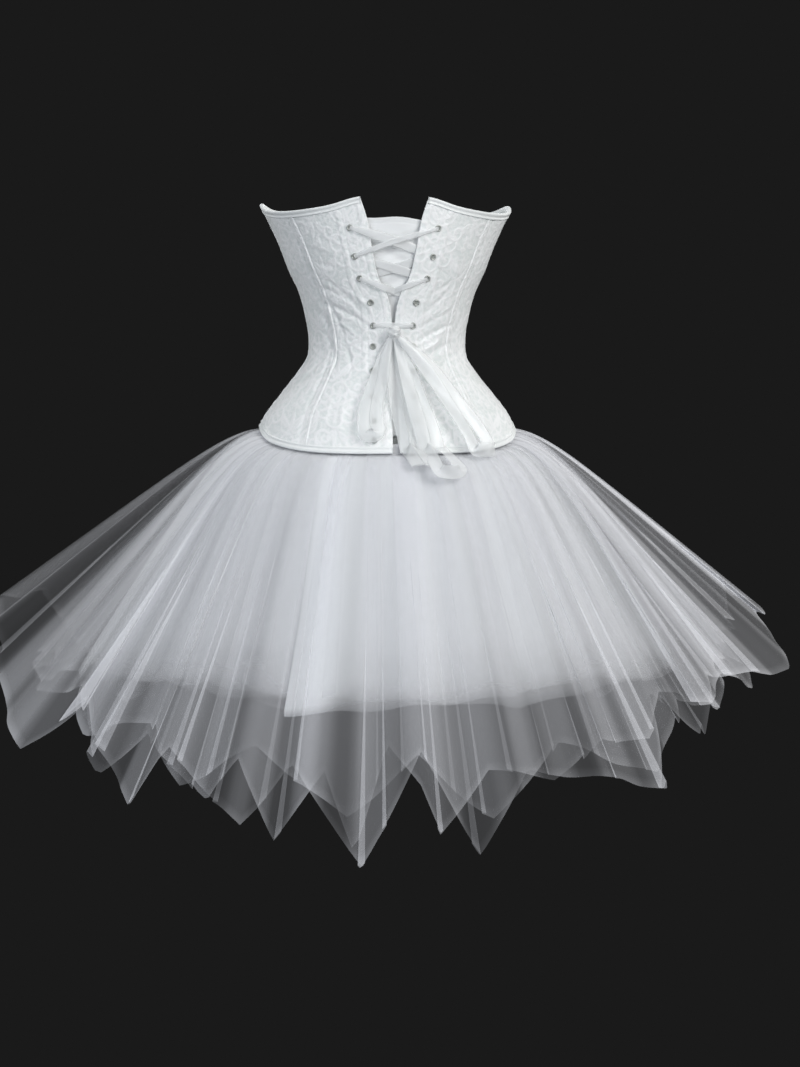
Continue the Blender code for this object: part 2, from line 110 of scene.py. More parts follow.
def sew(name, points, corners, finishes, finish_of=None, flat_map=None, weights=None):
    """Makes a piece from points in millimetres and the corner numbers of its four-sided faces. flat_map is
    each point's place on the flat cloth in metres, and weights holds named values for each point."""
    made = bpy.data.meshes.new(name)
    made.vertices.add(len(points))
    made.vertices.foreach_set("co", (points * MM).astype(np.float32).ravel())
    made.loops.add(corners.size)
    made.loops.foreach_set("vertex_index", corners.astype(np.int32).ravel())
    made.polygons.add(len(corners))
    made.polygons.foreach_set("loop_start", np.arange(0, corners.size, 4, dtype=np.int32))
    made.update(calc_edges=True)
    made.polygons.foreach_set("use_smooth", np.full(len(corners), True))
    for finish in finishes:
        made.materials.append(finish)
    if finish_of is not None:
        made.polygons.foreach_set("material_index", finish_of.astype(np.int32))
    if flat_map is not None:
        made.uv_layers.new(name="flat cloth").uv.foreach_set(
            "vector", flat_map[corners.ravel()].astype(np.float32).ravel())
    for label, values in (weights or {}).items():
        weight = made.attributes.new(label, "FLOAT", "POINT")
        weight.data.foreach_set("value", values.astype(np.float32).ravel())
    thing = bpy.data.objects.new(name, made)
    scene.collection.objects.link(thing)
    return thing


def add_node(material, kind, inputs=None, **settings):
    """Adds a node. Settings are its own choices, and inputs are its sockets' values or what feeds them."""
    node = material.node_tree.nodes.new(kind)
    for key, value in settings.items():
        setattr(node, key, value)
    for key, value in (inputs or {}).items():
        if isinstance(value, bpy.types.NodeSocket):
            material.node_tree.links.new(value, node.inputs[key])
        else:
            node.inputs[key].default_value = value
    return node


def new_finish(name, sockets):
    """A material with its shader's own sockets set to plain values."""
    material = bpy.data.materials.new(name)
    material.use_nodes = True
    shader = material.node_tree.nodes["Principled BSDF"]
    for key, value in sockets.items():
        shader.inputs[key].default_value = value
    return material, shader


# floor paint: matt off-white board
floor_board = new_finish("floor board", {"Base Color": linear("#dcdbd8"), "Roughness": 0.85})[0]
FLOOR_HEIGHT, FLOOR_RADIUS = -1250.0, 550.0
around = np.radians(np.arange(0, 360, 5.0))
rims = np.array([(0.001, 0), (1.0, 0), (1.0, -20.0)])  # share of the radius, height over the floor
floor_points = np.stack(
    [rims[:, :1] * FLOOR_RADIUS * np.sin(around), -rims[:, :1] * FLOOR_RADIUS * np.cos(around),
     FLOOR_HEIGHT + rims[:, 1:] + 0 * around], axis=-1)
floor_corners = grid_corners(len(rims), len(around), ring=True)[:, ::-1]
floor = sew("floor", floor_points.reshape(-1, 3), floor_corners, [floor_board])


# Corset panels. Two layers of white brocade over a stiff lining, cut in five panels that are shaped over bust
# and hip. They are joined by felled seams, pressed open, with steel bones in stitched channels.
BODY = np.array([  # height, half width, depth behind the axis, depth in front of it
    (-170, 197, 134, 134), (-123, 179, 119, 120), (-105, 171, 112, 115), (-73, 147, 100, 106),
    (-48, 127, 92, 98), (-25, 112, 86, 92), (0, 109, 84, 90), (29, 113, 87, 97), (64, 122, 93, 114),
    (95, 136, 98, 128), (136, 152, 103, 140), (176, 171, 106, 143), (205, 184, 108, 140),
], dtype=float)
TOP_EDGE = np.array([  # angle, height
    (0, 188), (16, 186), (30, 176), (45, 171), (60, 170), (75, 173), (90, 180), (97, 186),
    (115, 182), (140, 180), (160, 166), (180, 152),
], dtype=float)
HEM_EDGE = np.array([  # angle, height
    (0, -153), (20, -153), (40, -150), (60, -141), (90, -119), (130, -132), (160, -146), (180, -152),
], dtype=float)
BACK_GAP = np.array([  # height, half of the laced opening's width
    (-170, 5), (-110, 4), (-60, 3), (0, 2), (24, 2), (55, 8), (79, 20), (115, 29), (159, 37), (205, 53),
], dtype=float)
BACK_SEAM = np.array([  # height, angle of the curved seam between back and side
    (-160, 40), (-60, 42), (0, 45), (90, 51), (190, 56),
], dtype=float)
FRONT_SEAM = 122.0
LOWEST_LEVEL, HIGHEST_LEVEL = -153.0, 186.0
SEAM_GAP = 0.3  # between two panels
CLOTH = 2.0  # thickness of the two layers and the lining


def smooth(x, table, column):
    """A cubic through the table's rows, each row's slope taken from its two neighbours."""
    xs, ys = table[:, 0], table[:, column]
    slopes = np.gradient(ys, xs)
    x = np.clip(x, xs[0], xs[-1])
    i = np.clip(np.searchsorted(xs, x) - 1, 0, len(xs) - 2)
    width = xs[i + 1] - xs[i]
    t = (x - xs[i]) / width
    first, last = (1 + 2 * t) * (1 - t) ** 2, t * t * (3 - 2 * t)
    return (
        first * ys[i] + last * ys[i + 1]
        + width * (t * (1 - t) ** 2 * slopes[i] + t * t * (t - 1) * slopes[i + 1])
    )


def turned(angle):
    """The angle's distance from the centre back, 0 to 180."""
    return np.abs((np.asarray(angle, float) + 180) % 360 - 180)


def body(angle, height):
    """An ellipse at each height, its back and front halves of unlike depths."""
    a = np.radians(angle)
    half = smooth(height, BODY, 1)
    depth = np.where(np.cos(a) >= 0, smooth(height, BODY, 2), smooth(height, BODY, 3))
    return np.stack([half * np.sin(a), -depth * np.cos(a), height + 0 * a], axis=-1)


def on_corset(angle, height, distance):
    """The body's points moved out along its normal, which is across its two directions."""
    angle, height, distance = np.broadcast_arrays(
        np.asarray(angle, float), np.asarray(height, float), np.asarray(distance, float))
    step = 0.05
    round_it = body(angle + step, height) - body(angle - step, height)
    up_it = body(angle, height + step) - body(angle, height - step)
    normal = np.cross(round_it, up_it)
    normal /= np.linalg.norm(normal, axis=-1, keepdims=True)
    return body(angle, height) + normal * distance[..., None]


def edge_angle(height):
    """Angle of the laced edge at a height, from the opening's half width."""
    return np.degrees(np.arcsin(smooth(height, BACK_GAP, 1) / smooth(height, BODY, 1)))


REPEAT = np.array([96.0, 140.0])  # the pattern's repeat across and up
PATTERN_STEP = 1.0  # between the points at which the pattern is worked out
NO_FIGURE, STROKE_REACH = 99.0, 8.0  # a distance past any figure, and how far round itself a stroke counts


def leaf(x, y, direction, length, width):
    """A stroke from its foot at x, y, widest in its middle, as points and half widths."""
    t = np.linspace(0, 1, 14)
    turn = np.radians(direction)
    line = np.stack([x + length * t * np.cos(turn), y + length * t * np.sin(turn)], axis=-1)
    return line, width / 2 * np.sin(np.pi * np.clip(t, 0.04, 0.97)) ** 0.7


def scroll(x, y, start, turns, size, width):
    """A spiral that opens evenly from its middle and thickens outwards."""
    t = np.linspace(0.12, 1, 60)
    turn = np.radians(start) + 2 * np.pi * turns * t
    line = np.stack([x + size * t * np.cos(turn), y + size * t * np.sin(turn)], axis=-1)
    return line, width / 2 * (0.45 + 0.55 * t)


def drop_outline(x, y, direction, length, width, line_width):
    """The outline of a drop, round at its foot and pointed at its head."""
    t = np.linspace(0, 2 * np.pi, 50)
    along, across = np.cos(t) * length / 2, np.sin(t) * np.sin(t / 2) ** 1.6 * width * 0.625
    turn = np.radians(direction)
    line = np.stack(
        [x + along * np.cos(turn) - across * np.sin(turn), y + along * np.sin(turn) + across * np.cos(turn)],
        axis=-1)
    return line, line_width / 2 + 0 * t


def petals(count, reach, size, first, line_width):
    """Round petals about 0, 0: each is most of a circle round a point at the reach."""
    strokes = []
    for turn in np.radians(first + np.arange(count) * 360 / count):
        bend = turn + np.radians(np.linspace(-115, 115, 26))
        line = np.stack(
            [reach * np.cos(turn) + size * np.cos(bend), reach * np.sin(turn) + size * np.sin(bend)], axis=-1)
        strokes.append((line, line_width / 2 + 0 * bend))
    return strokes


def sprig():
    """One figure of the brocade: a broad double flower, veined petals, leaves over it, scrolls below."""
    strokes = petals(6, 20, 11, 20, 2.4) + petals(6, 9, 6.5, 50, 2.0)
    veins = np.radians(np.arange(20, 380, 60))
    strokes += [leaf(11 * np.cos(turn), 11 * np.sin(turn), np.degrees(turn), 15, 3.4) for turn in veins]
    strokes += [leaf(0, 0, angle, 6.0, 3.6) for angle in np.arange(0, 360, 72)]
    strokes += [drop_outline(-13, 47, 122, 32, 17, 2.0), leaf(-9, 40, 122, 18, 5.5)]
    strokes += [drop_outline(14, 46, 58, 30, 16, 2.0), leaf(10, 40, 58, 17, 5.0)]
    strokes += [scroll(-19, -44, 40, 1.5, 13, 3.8), scroll(20, -48, 210, 1.4, 12, 3.6)]
    strokes += [leaf(*row) for row in (
        (0, 34, 90, 26, 5.5), (-2, -33, 262, 24, 5.0), (3, -36, 300, 15, 5.2), (-6, -34, 235, 14, 5.0),
        (-34, -22, 230, 15, 5.4), (35, -20, 310, 15, 5.2), (-33, 24, 135, 16, 5.6), (34, 23, 45, 16, 5.4),
        (-2, -62, 60, 12, 4.6), (5, -64, 120, 12, 4.4), (-38, 4, 175, 9, 5.0), (38, 0, 5, 9, 5.0),
    )]
    return np.concatenate([s[0] for s in strokes]), np.concatenate([s[1] for s in strokes])


def weave_repeat():
    """Distance to the nearest figure over one repeat, in which the figure stands once as drawn and once
    mirrored, half a repeat across and up. It is negative inside a figure."""
    line, half_width = sprig()
    across, up = (np.arange(0, size, PATTERN_STEP) for size in REPEAT)
    spots = np.stack(np.meshgrid(across, up, indexing="ij"), axis=-1).astype(np.float32)
    nearest = np.full(spots.shape[:2], NO_FIGURE)
    for place, mirror in ((REPEAT / 4, 1), (REPEAT * 0.75, -1)):
        for shift in np.stack(np.meshgrid((-1, 0, 1), (-1, 0, 1)), axis=-1).reshape(-1, 2) * REPEAT:
            drawn = line * (mirror, 1) + place + shift
            close = np.all((drawn > -STROKE_REACH) & (drawn < REPEAT + STROKE_REACH), axis=-1)
            if close.any():
                apart = spots[:, :, None, :] - drawn[close].astype(np.float32)
                gap = np.linalg.norm(apart, axis=-1) - half_width[close]
                nearest = np.minimum(nearest, gap.min(axis=-1))
    return nearest


woven = weave_repeat()


def figure_at(across, up):
    """Distance to the figure at places on the flat cloth, straight between the repeat's own points."""
    x, y = across % REPEAT[0] / PATTERN_STEP, up % REPEAT[1] / PATTERN_STEP
    i, j = x.astype(int) % woven.shape[0], y.astype(int) % woven.shape[1]
    i2, j2, x, y = (i + 1) % woven.shape[0], (j + 1) % woven.shape[1], x % 1, y % 1
    return (
        (1 - x) * (1 - y) * woven[i, j] + x * (1 - y) * woven[i2, j]
        + (1 - x) * y * woven[i, j2] + x * y * woven[i2, j2]
    )


MM_PER_DEGREE = 2.3  # round the body, on the whole
CREASE_BOW = 3.0  # how far the middle of a crease stands off a straight line
CREASES = np.array([  # start angle and height, end angle and height, half width, depth; below 0 is the left
    (-60, 72, -30, 52, 3.5, -1.2), (-58, 50, -24, 28, 3.8, -1.4), (-57, 12, -37, -48, 4.2, -1.6),
    (-37, -8, -27, -48, 3.5, -1.1), (-52, 62, -35, -6, 4.2, -1.5), (-47, 84, -22, 34, 3.8, -1),
    (-42, 40, -14, 12, 3.2, -1.1), (-30, 64, -12, 28, 3, 0.9), (-46, 24, -26, 4, 3, 1),
    (-44, -24, -13, 0, 3.8, -1.1), (-40, -62, -14, -18, 4.2, -1.1), (-50, 100, -33, 92, 4, -0.7),
    (-37, -104, -15, -62, 5, -0.9), (-61, 40, -46, 4, 5, -1.4), (-62, -30, -45, -4, 5.2, -1.2),
    (-34, -112, -20, -132, 4.2, 0.9), (-27, -84, -25, -128, 3.8, 1), (-22, -70, -20, -130, 3.2, -0.8),
    (-48, 130, -30, 104, 5.5, 0.7), (-66, -60, -52, -20, 5.5, -1.1), (-33, -70, -36, -128, 4.2, 0.8),
    (19, 12, 47, 39, 3.5, -1.4), (12, -9, 58, 25, 3.5, -1.3), (22, -29, 54, -2, 3.8, -1.3),
    (44, 78, 20, 30, 3.8, -1.2), (49, 56, 26, 22, 3.2, 1), (48, 92, 24, 58, 3.5, -1),
    (46, 20, 30, 4, 3, 1), (42, 6, 18, -18, 3.2, 1), (44, -30, 17, -44, 3.8, -1.1),
    (40, -70, 18, -40, 4.5, -1.1), (38, -106, 20, -70, 5, -1), (62, 36, 50, 2, 5, -1.3),
    (64, -36, 50, -6, 5.5, -1.2), (32, 136, 44, 100, 5.5, 0.8), (22, 96, 40, 78, 4, -0.8),
    (36, 118, 44, 60, 3.8, 0.8), (100, 26, 124, 6, 5.5, -1.1), (104, -20, 126, -4, 5, -1),
    (-102, 30, -123, 4, 5.5, -1.1), (-100, -26, -127, -6, 5.2, -1), (140, 24, 168, 8, 5.5, -0.9),
    (-142, 20, -170, 6, 5.5, -0.9), (146, -24, 172, -8, 5, -0.9), (-148, -30, -171, -8, 5, -0.8),
    (90, 96, 108, 60, 6.2, -0.8), (-88, 92, -106, 58, 6.2, -0.9),
], dtype=float)


def crease_depth(angle, height):
    """Soft troughs and ridges. Each is a bell across its line, and fades out towards its two ends."""
    x, z = ((angle + 180) % 360 - 180) * MM_PER_DEGREE, height
    total = 0 * x
    for a1, z1, a2, z2, width, depth in CREASES:
        x1, x2 = a1 * MM_PER_DEGREE, a2 * MM_PER_DEGREE
        long2 = (x2 - x1) ** 2 + (z2 - z1) ** 2
        share = ((x - x1) * (x2 - x1) + (z - z1) * (z2 - z1)) / long2
        bend = CREASE_BOW * np.sin(np.pi * np.clip(share, 0, 1))
        away = ((x - x1) * (z2 - z1) - (z - z1) * (x2 - x1)) / np.sqrt(long2) + bend
        fade = np.clip(1 - np.abs(share - 0.5) ** 2 * 4, 0, 1)
        total = total + depth * np.exp(-(away / width) ** 2) * fade
    return total


# white brocade: a satin figure, closely woven and glossy, on a ribbed matt ground, both bleached white
brocade, brocade_shader = new_finish("white brocade", {
    "Sheen Weight": 0.12, "Sheen Roughness": 0.4, "Specular IOR Level": 0.5,
})
flat_cloth = add_node(brocade, "ShaderNodeUVMap", uv_map="flat cloth").outputs["UV"]
figure = add_node(brocade, "ShaderNodeAttribute", attribute_name="figure").outputs["Fac"]
outline = add_node(brocade, "ShaderNodeAttribute", attribute_name="outline").outputs["Fac"]
place = add_node(brocade, "ShaderNodeTexCoord").outputs["Object"]
# clouds of about 70 mm, and small worked-in threads of about 5 mm
unevenness = add_node(brocade, "ShaderNodeTexNoise", {
    "Vector": place, "Scale": 14.0, "Detail": 3.0}).outputs["Fac"]
small_weave = add_node(brocade, "ShaderNodeTexNoise", {
    "Vector": place, "Scale": 210.0, "Detail": 2.0}).outputs["Fac"]
ground_tint = add_node(brocade, "ShaderNodeMix", {
    0: unevenness, 6: linear("#e1e8e6"), 7: linear("#f0f3f2"),
}, data_type="RGBA").outputs[2]
small_figure = add_node(brocade, "ShaderNodeMapRange", {
    "Value": small_weave, "From Min": 0.42, "From Max": 0.62, "To Min": 0.0, "To Max": 0.8}).outputs["Result"]
mottled_tint = add_node(brocade, "ShaderNodeMix", {
    0: small_figure, 6: ground_tint, 7: linear("#f6f8f7"),
}, data_type="RGBA").outputs[2]
# painted sheen: the satin figure is tinted lighter than the ground, though both are the same bleached white,
# for the gloss of its floats
figure_sheen_tint = add_node(brocade, "ShaderNodeMix", {
    0: figure, 6: mottled_tint, 7: linear("#f2f5f4"),
}, data_type="RGBA").outputs[2]
# painted highlight: the figures' outlines and the seams' raised welts are tinted lighter, as if lit along
# their edges
outline_highlight_tint = add_node(brocade, "ShaderNodeMix", {
    0: outline, 6: figure_sheen_tint, 7: linear("#fafbfb"),
}, data_type="RGBA").outputs[2]
gloss = add_node(brocade, "ShaderNodeMapRange", {
    "Value": figure, "To Min": 0.60, "To Max": 0.40}).outputs["Result"]
# ribs run on the slant, 3.2 mm apart across and 2.2 mm up: coarser than real ones, so that they show
ribs = add_node(brocade, "ShaderNodeTexWave", {
    "Vector": add_node(brocade, "ShaderNodeMapping", {
        "Vector": flat_cloth, "Scale": (1 / 0.0016, 1 / 0.0011, 1.0)}).outputs["Vector"],
    "Scale": 0.314, "Distortion": 1.2, "Detail": 1.0,
}, bands_direction="DIAGONAL").outputs["Fac"]
small_bump = add_node(brocade, "ShaderNodeBump", {"Height": small_weave, "Strength": 0.8, "Distance": 0.0009})
threads = add_node(brocade, "ShaderNodeBump", {
    "Height": ribs, "Strength": 0.3, "Distance": 0.00012, "Normal": small_bump.outputs["Normal"]})
brocade.node_tree.links.new(outline_highlight_tint, brocade_shader.inputs["Base Color"])
brocade.node_tree.links.new(gloss, brocade_shader.inputs["Roughness"])
brocade.node_tree.links.new(threads.outputs["Normal"], brocade_shader.inputs["Normal"])

PANELS = (  # name, CAD node, side, grid step, bones: distance from the panel's first edge, half width
    ("brocade_back_right", "back_right", 1, 1.25, ((7.0, 4.0), (37.0, 4.5))),
    ("brocade_side_right", "side_right", 1, 1.7, ((6.0, 3.5), (96.0, 4.0))),
    ("brocade_front", "front", 0, 2.1, ((60.0, 4.0), (124.0, 4.5), (184.0, 4.0))),
    ("brocade_side_left", "side_left", -1, 1.7, ((6.0, 3.5), (96.0, 4.0))),
    ("brocade_back_left", "back_left", -1, 1.25, ((7.0, 4.0), (37.0, 4.5))),
)


def panel_spans(level):
    """First and last angle of each panel at a level, from the right laced edge round to the left."""
    back, seam = edge_angle(level), smooth(level, BACK_SEAM, 1)
    return {
        "back_right": (back, seam), "side_right": (seam, FRONT_SEAM + 0 * level),
        "front": (FRONT_SEAM + 0 * level, 360 - FRONT_SEAM + 0 * level),
        "side_left": (360 - FRONT_SEAM + 0 * level, 360 - seam), "back_left": (360 - seam, 360 - back),
    }


def closed_corners(rows, columns):
    """Faces of an outer and an inner grid of points and of the rim between them."""
    outer = grid_corners(rows, columns)
    count = rows * columns
    rim = np.concatenate([
        np.arange(columns), np.arange(1, rows) * columns + columns - 1,
        (rows - 1) * columns + np.arange(columns - 2, -1, -1), np.arange(rows - 2, 0, -1) * columns,
    ])
    after = np.roll(rim, -1)
    return np.concatenate([
        outer, outer[:, ::-1] + count, np.stack([rim, rim + count, after + count, after], axis=-1)])


def stitched(across, along, place, pitch=3.0, depth=0.22, groove=0.7):
    """A row of stitches at a distance across the cloth: a narrow groove, deeper where each stitch goes in."""
    between = 0.65 + 0.35 * np.cos(2 * np.pi * along / pitch)
    return -depth * np.exp(-((across - place) / groove) ** 2) * between


FIGURE_RISE, OUTLINE_RISE = 0.26, 0.20  # about twice the real figure's, so that it shows
FIGURE_EDGE = 0.5  # over which the figure rises
# the outline rises as real relief, and its lighter tint is a painted highlight
OUTLINE_INSIDE, OUTLINE_HALF = 0.6, 0.9  # the bright outline: inside the figure's edge, and its half width


def brocade_relief(across, up):
    """Height of the woven figure over the ground, with its figure and outline weights. The figure rises by a
    smooth step over its edge, and its outline by a bell just inside it."""
    away = figure_at(across, up)
    figure_weight = 1 / (1 + np.exp(away / FIGURE_EDGE))
    outline_weight = np.exp(-((away + OUTLINE_INSIDE) / OUTLINE_HALF) ** 2)
    return FIGURE_RISE * figure_weight + OUTLINE_RISE * outline_weight, figure_weight, outline_weight


def twice(values):
    """The same values for the outer and for the inner grid."""
    return np.concatenate([values.reshape(-1), values.reshape(-1)])


WELT, WELT_WIDTH = 0.9, 1.4  # the seam's own raised line, its height and half width
SEAM_GROOVE = (2.6, 0.9, 0.5)  # beside that line: its distance, half width and depth
SEAM_STITCHES = 3.6  # from the seam
BONE_RISE = 0.55  # how far a bone lifts the cloth
FIGURE_AT_BACK = (27.0, 120.0)  # a flower beside the lacing: from the laced edge, and its height
PRESSED, PRESSED_FLAT = 6.0, 0.4  # the relief grows over this width from a bound edge, past this share of it
SHADED_DIP = (8.0, 4.5, 1.3)  # outside the curved seam: its distance, half width and depth

for name, node, side, step, bones in PANELS:
    rows = int((HIGHEST_LEVEL - LOWEST_LEVEL) / step)
    up = np.linspace(0, 1, rows)[:, None]
    level = LOWEST_LEVEL + (HIGHEST_LEVEL - LOWEST_LEVEL) * up
    start, end = panel_spans(level)[node]
    widest = float((end - start).max()) * MM_PER_DEGREE
    inset = np.degrees(SEAM_GAP / 2 / smooth(level, BODY, 2))
    angle = (start + inset) + (end - start - 2 * inset) * np.linspace(0, 1, int(widest / step))
    low, high = smooth(turned(angle), HEM_EDGE, 1), smooth(turned(angle), TOP_EDGE, 1)
    height = low * (1 - up) + high * up
    plain = body(angle, height)
    across = np.concatenate(
        [0 * up, np.cumsum(np.linalg.norm(np.diff(plain, axis=1), axis=-1), axis=1)], axis=1)
    width = across[:, -1:]
    from_back = width - across if side < 0 else across
    relief, figure_weight, outline_weight = brocade_relief(
        from_back - FIGURE_AT_BACK[0] + REPEAT[0] / 4, height - FIGURE_AT_BACK[1] + REPEAT[1] / 4)
    nearest_seam = np.minimum(across, width - across)
    if "back" in node:
        nearest_seam = width - from_back
    lift = relief + crease_depth(angle, height) + WELT * np.exp(-(nearest_seam / WELT_WIDTH) ** 2)
    lift = lift + stitched(nearest_seam, height, SEAM_STITCHES)
    lift = lift - SEAM_GROOVE[2] * np.exp(-((nearest_seam - SEAM_GROOVE[0]) / SEAM_GROOVE[1]) ** 2)
    if "side" in node:
        lift = lift - SHADED_DIP[2] * np.exp(-((from_back - SHADED_DIP[0]) / SHADED_DIP[1]) ** 2)
    # painted highlight: the raised welt along each seam takes the outline's lighter tint
    outline_weight = np.maximum(outline_weight, np.exp(-(nearest_seam / WELT_WIDTH) ** 2))
    for distance, half in bones:
        lift = lift + BONE_RISE * np.clip(1 - ((from_back - distance) / half) ** 2, 0, 1)
        for channel_edge in (distance - half, distance + half):
            lift = lift + stitched(from_back, height, channel_edge)
    lift = lift * np.clip(np.minimum(high - height, height - low) / PRESSED - PRESSED_FLAT, 0, 1)
    outer = on_corset(angle, height, lift)
    inner = on_corset(angle, height, 0 * lift - CLOTH)
    panel = sew(
        name, np.concatenate([outer.reshape(-1, 3), inner.reshape(-1, 3)]), closed_corners(*angle.shape),
        [brocade], flat_map=np.stack([twice(across), twice(height)], axis=-1) * MM,
        weights={"figure": twice(figure_weight), "outline": twice(outline_weight)})
    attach(panel, "root")
    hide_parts(node)


# Bindings. A strip of white satin is folded over the top edge and another over the hem. Each is sewn along
# its lower fold, so that it shows as a full roll, a shaded dip and a second thin bright line.
def thread_bump(material, shader, threads, strength, depth):
    """Noise on the flat cloth, drawn out into threads, as a bump of a depth in metres. threads is how many of
    them there are in a metre, along the strip and across it."""
    drawn_out = add_node(material, "ShaderNodeMapping", {
        "Vector": add_node(material, "ShaderNodeUVMap", uv_map="flat cloth").outputs["UV"],
        "Scale": (*threads, 1.0)})
    lines = add_node(material, "ShaderNodeTexNoise", {
        "Vector": drawn_out.outputs["Vector"], "Scale": 1.0, "Detail": 2.0})
    bump = add_node(material, "ShaderNodeBump", {
        "Height": lines.outputs["Fac"], "Strength": strength, "Distance": depth})
    material.node_tree.links.new(bump.outputs["Normal"], shader.inputs["Normal"])


# white satin: polyester, smooth, with a soft gloss along the strip
satin, satin_shader = new_finish("white satin", {
    "Base Color": linear("#f1f4f3"), "Roughness": 0.45, "Sheen Weight": 0.1, "Specular IOR Level": 0.5,
    "Anisotropic": 0.2,
})
thread_bump(satin, satin_shader, (60.0, 1800.0), strength=0.06, depth=0.0001)

STRIP_WIDTH = 30.0  # as cut
STRIP_COLUMNS = 620  # round the whole edge
ROLL_UNEVENNESS = 0.08  # share of the roll's thickness
BINDING_SECTION = np.array([  # out from the corset's face, up past its edge: the inside, then the outside
    (0.30, 0.30), (-2.30, 0.30), (-2.30, -6.6), (-3.10, -6.8), (-3.15, -3.0), (-3.15, 0.4), (-2.8, 1.1),
    (-1.6, 1.6), (0.0, 1.6), (1.0, 1.3), (1.5, 0.5), (1.5, -0.8), (1.35, -1.9), (0.6, -2.7), (0.5, -4.2),
    (0.9, -4.9), (1.35, -5.7), (1.3, -6.7), (0.8, -7.3), (0.30, -7.2),
])


def carried(sections):
    """Faces along a row of closed sections, each with an even number of corners, and over its two ends."""
    count, corners = sections.shape[:2]
    sides = grid_corners(count, corners, ring=True)
    k = np.arange(corners // 2 - 1)
    first = np.stack([k, k + 1, corners - 2 - k, corners - 1 - k], axis=-1)
    last = first[:, ::-1] + (count - 1) * corners
    return np.concatenate([sides, first, last])


def binding(name, node, edge, up):
    """The section carried round an edge from one back corner to the other, its roll a little uneven."""
    back = edge_angle(LOWEST_LEVEL if up < 0 else HIGHEST_LEVEL)
    angle = np.linspace(back + 0.1, 359.9 - back, STRIP_COLUMNS)[:, None]
    out, rise = BINDING_SECTION[:, 0], BINDING_SECTION[:, 1]
    uneven = 1 + ROLL_UNEVENNESS * np.sin(angle * 0.4 + 1) * np.sin(angle * 0.17)
    height = smooth(turned(angle), edge, 1) + up * rise
    sections = on_corset(angle, height, np.where(out > 0.5, out * uneven, out))
    if up < 0:
        sections = sections[:, ::-1]
    run = np.concatenate([[0], np.cumsum(np.linalg.norm(np.diff(sections[:, 0], axis=0), axis=-1))])
    girth = np.linspace(0, STRIP_WIDTH, len(out))
    flat = np.stack(np.broadcast_arrays(run[:, None], girth), axis=-1).reshape(-1, 2) * MM
    strip = sew(name, sections.reshape(-1, 3), carried(sections)[:, ::-1], [satin], flat_map=flat)
    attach(strip, "root")
    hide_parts(node)


binding("satin_top_binding", "top_binding", TOP_EDGE, 1)
binding("satin_hem_binding", "hem_binding", HEM_EDGE, -1)


# Modesty panel. A plain flap of white cotton sateen, stitched inside the left back panel, that lies behind
# the lacing so that no skin shows in the opening. Its top edge is turned over and sags a little.
# cotton sateen: white, smooth and nearly matt
sateen, sateen_shader = new_finish("cotton sateen", {
    "Base Color": linear("#eceeee"), "Roughness": 0.55, "Sheen Weight": 0.1, "Specular IOR Level": 0.4,
})
thread_bump(sateen, sateen_shader, (1800.0, 500.0), strength=0.2, depth=0.0002)

MODESTY_INSET, MODESTY_CLOTH = 6.6, 1.5  # inside the corset's face, and its thickness
MODESTY_HALF_WIDTH = 62.0
MODESTY_LOW, MODESTY_HIGH = -128.0, 160.0
TURNED_RISE, TURNED_ROUND = 0.5, 1.5  # the turned edge's rise, and how far down it is round
HEM_STITCHES = (7.0, 0.8, 0.3)  # below the turned edge: their distance, half width and depth
MODESTY_FOLDS = (  # middle across and height, slope of its line, half width, depth
    (0, 128, 0.22, 9, 1.6), (-20, 104, 0.55, 7, 1.3), (22, 98, -0.5, 7, 1.2), (6, 76, 0.3, 8, 1.5),
    (-4, 44, -0.4, 8, 1.2), (0, 4, 0.5, 9, 1.2), (2, -40, -0.3, 9, 1.2), (0, -84, 0.4, 9, 1.2),
)

across = np.linspace(-1, 1, 96)[None, :] * MODESTY_HALF_WIDTH
share = np.linspace(0, 1, 220)[:, None]
top_edge = MODESTY_HIGH - 2.5 * across / MODESTY_HALF_WIDTH + 1.6 * np.sin(across / 13 + 1)
height = MODESTY_LOW + (top_edge - MODESTY_LOW) * share
across = across + 0 * height
angle = np.degrees(np.arcsin(across / smooth(height, BODY, 1)))
dent = 0 * height
for middle, level, slope, half, depth in MODESTY_FOLDS:
    dent = dent + depth * np.exp(-((height - level - slope * (across - middle)) / half) ** 2)
below = top_edge - height
turned_edge = TURNED_RISE * np.exp(-(below / TURNED_ROUND) ** 2)
turned_edge = turned_edge - HEM_STITCHES[2] * np.exp(-((below - HEM_STITCHES[0]) / HEM_STITCHES[1]) ** 2)
outer = on_corset(angle, height, turned_edge - dent - MODESTY_INSET)
inner = on_corset(angle, height, turned_edge - dent - MODESTY_INSET - MODESTY_CLOTH)
flap = sew(
    "sateen_modesty_panel", np.concatenate([outer.reshape(-1, 3), inner.reshape(-1, 3)]),
    closed_corners(*angle.shape), [sateen], flat_map=np.stack([twice(across), twice(height)], axis=-1) * MM)
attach(flap, "root")
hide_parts("modesty_panel")


# Eyelets. Ten a side, of nickel-plated brass, pressed through the cloth beside the laced edge: a domed
# flange with a short barrel, and a grey disc of painted shade in its middle where the hole is.
# nickel plate: grey metal, dulled by wear
nickel, nickel_shader = new_finish("nickel plate", {
    "Base Color": linear("#c4c7c3"), "Metallic": 1.0, "Roughness": 0.5,
})
wear = add_node(nickel, "ShaderNodeTexNoise", {
    "Vector": add_node(nickel, "ShaderNodeTexCoord").outputs["Object"], "Scale": 900.0, "Detail": 2.0,
}).outputs["Fac"]
nickel_bump = add_node(nickel, "ShaderNodeBump", {"Height": wear, "Strength": 0.2, "Distance": 0.0001})
nickel.node_tree.links.new(nickel_bump.outputs["Normal"], nickel_shader.inputs["Normal"])
# hole shade: painted shade, a flat grey disc standing for the lining in shadow down the barrel
hole = new_finish("painted hole shade", {"Base Color": linear("#9a9e99"), "Roughness": 0.9})[0]

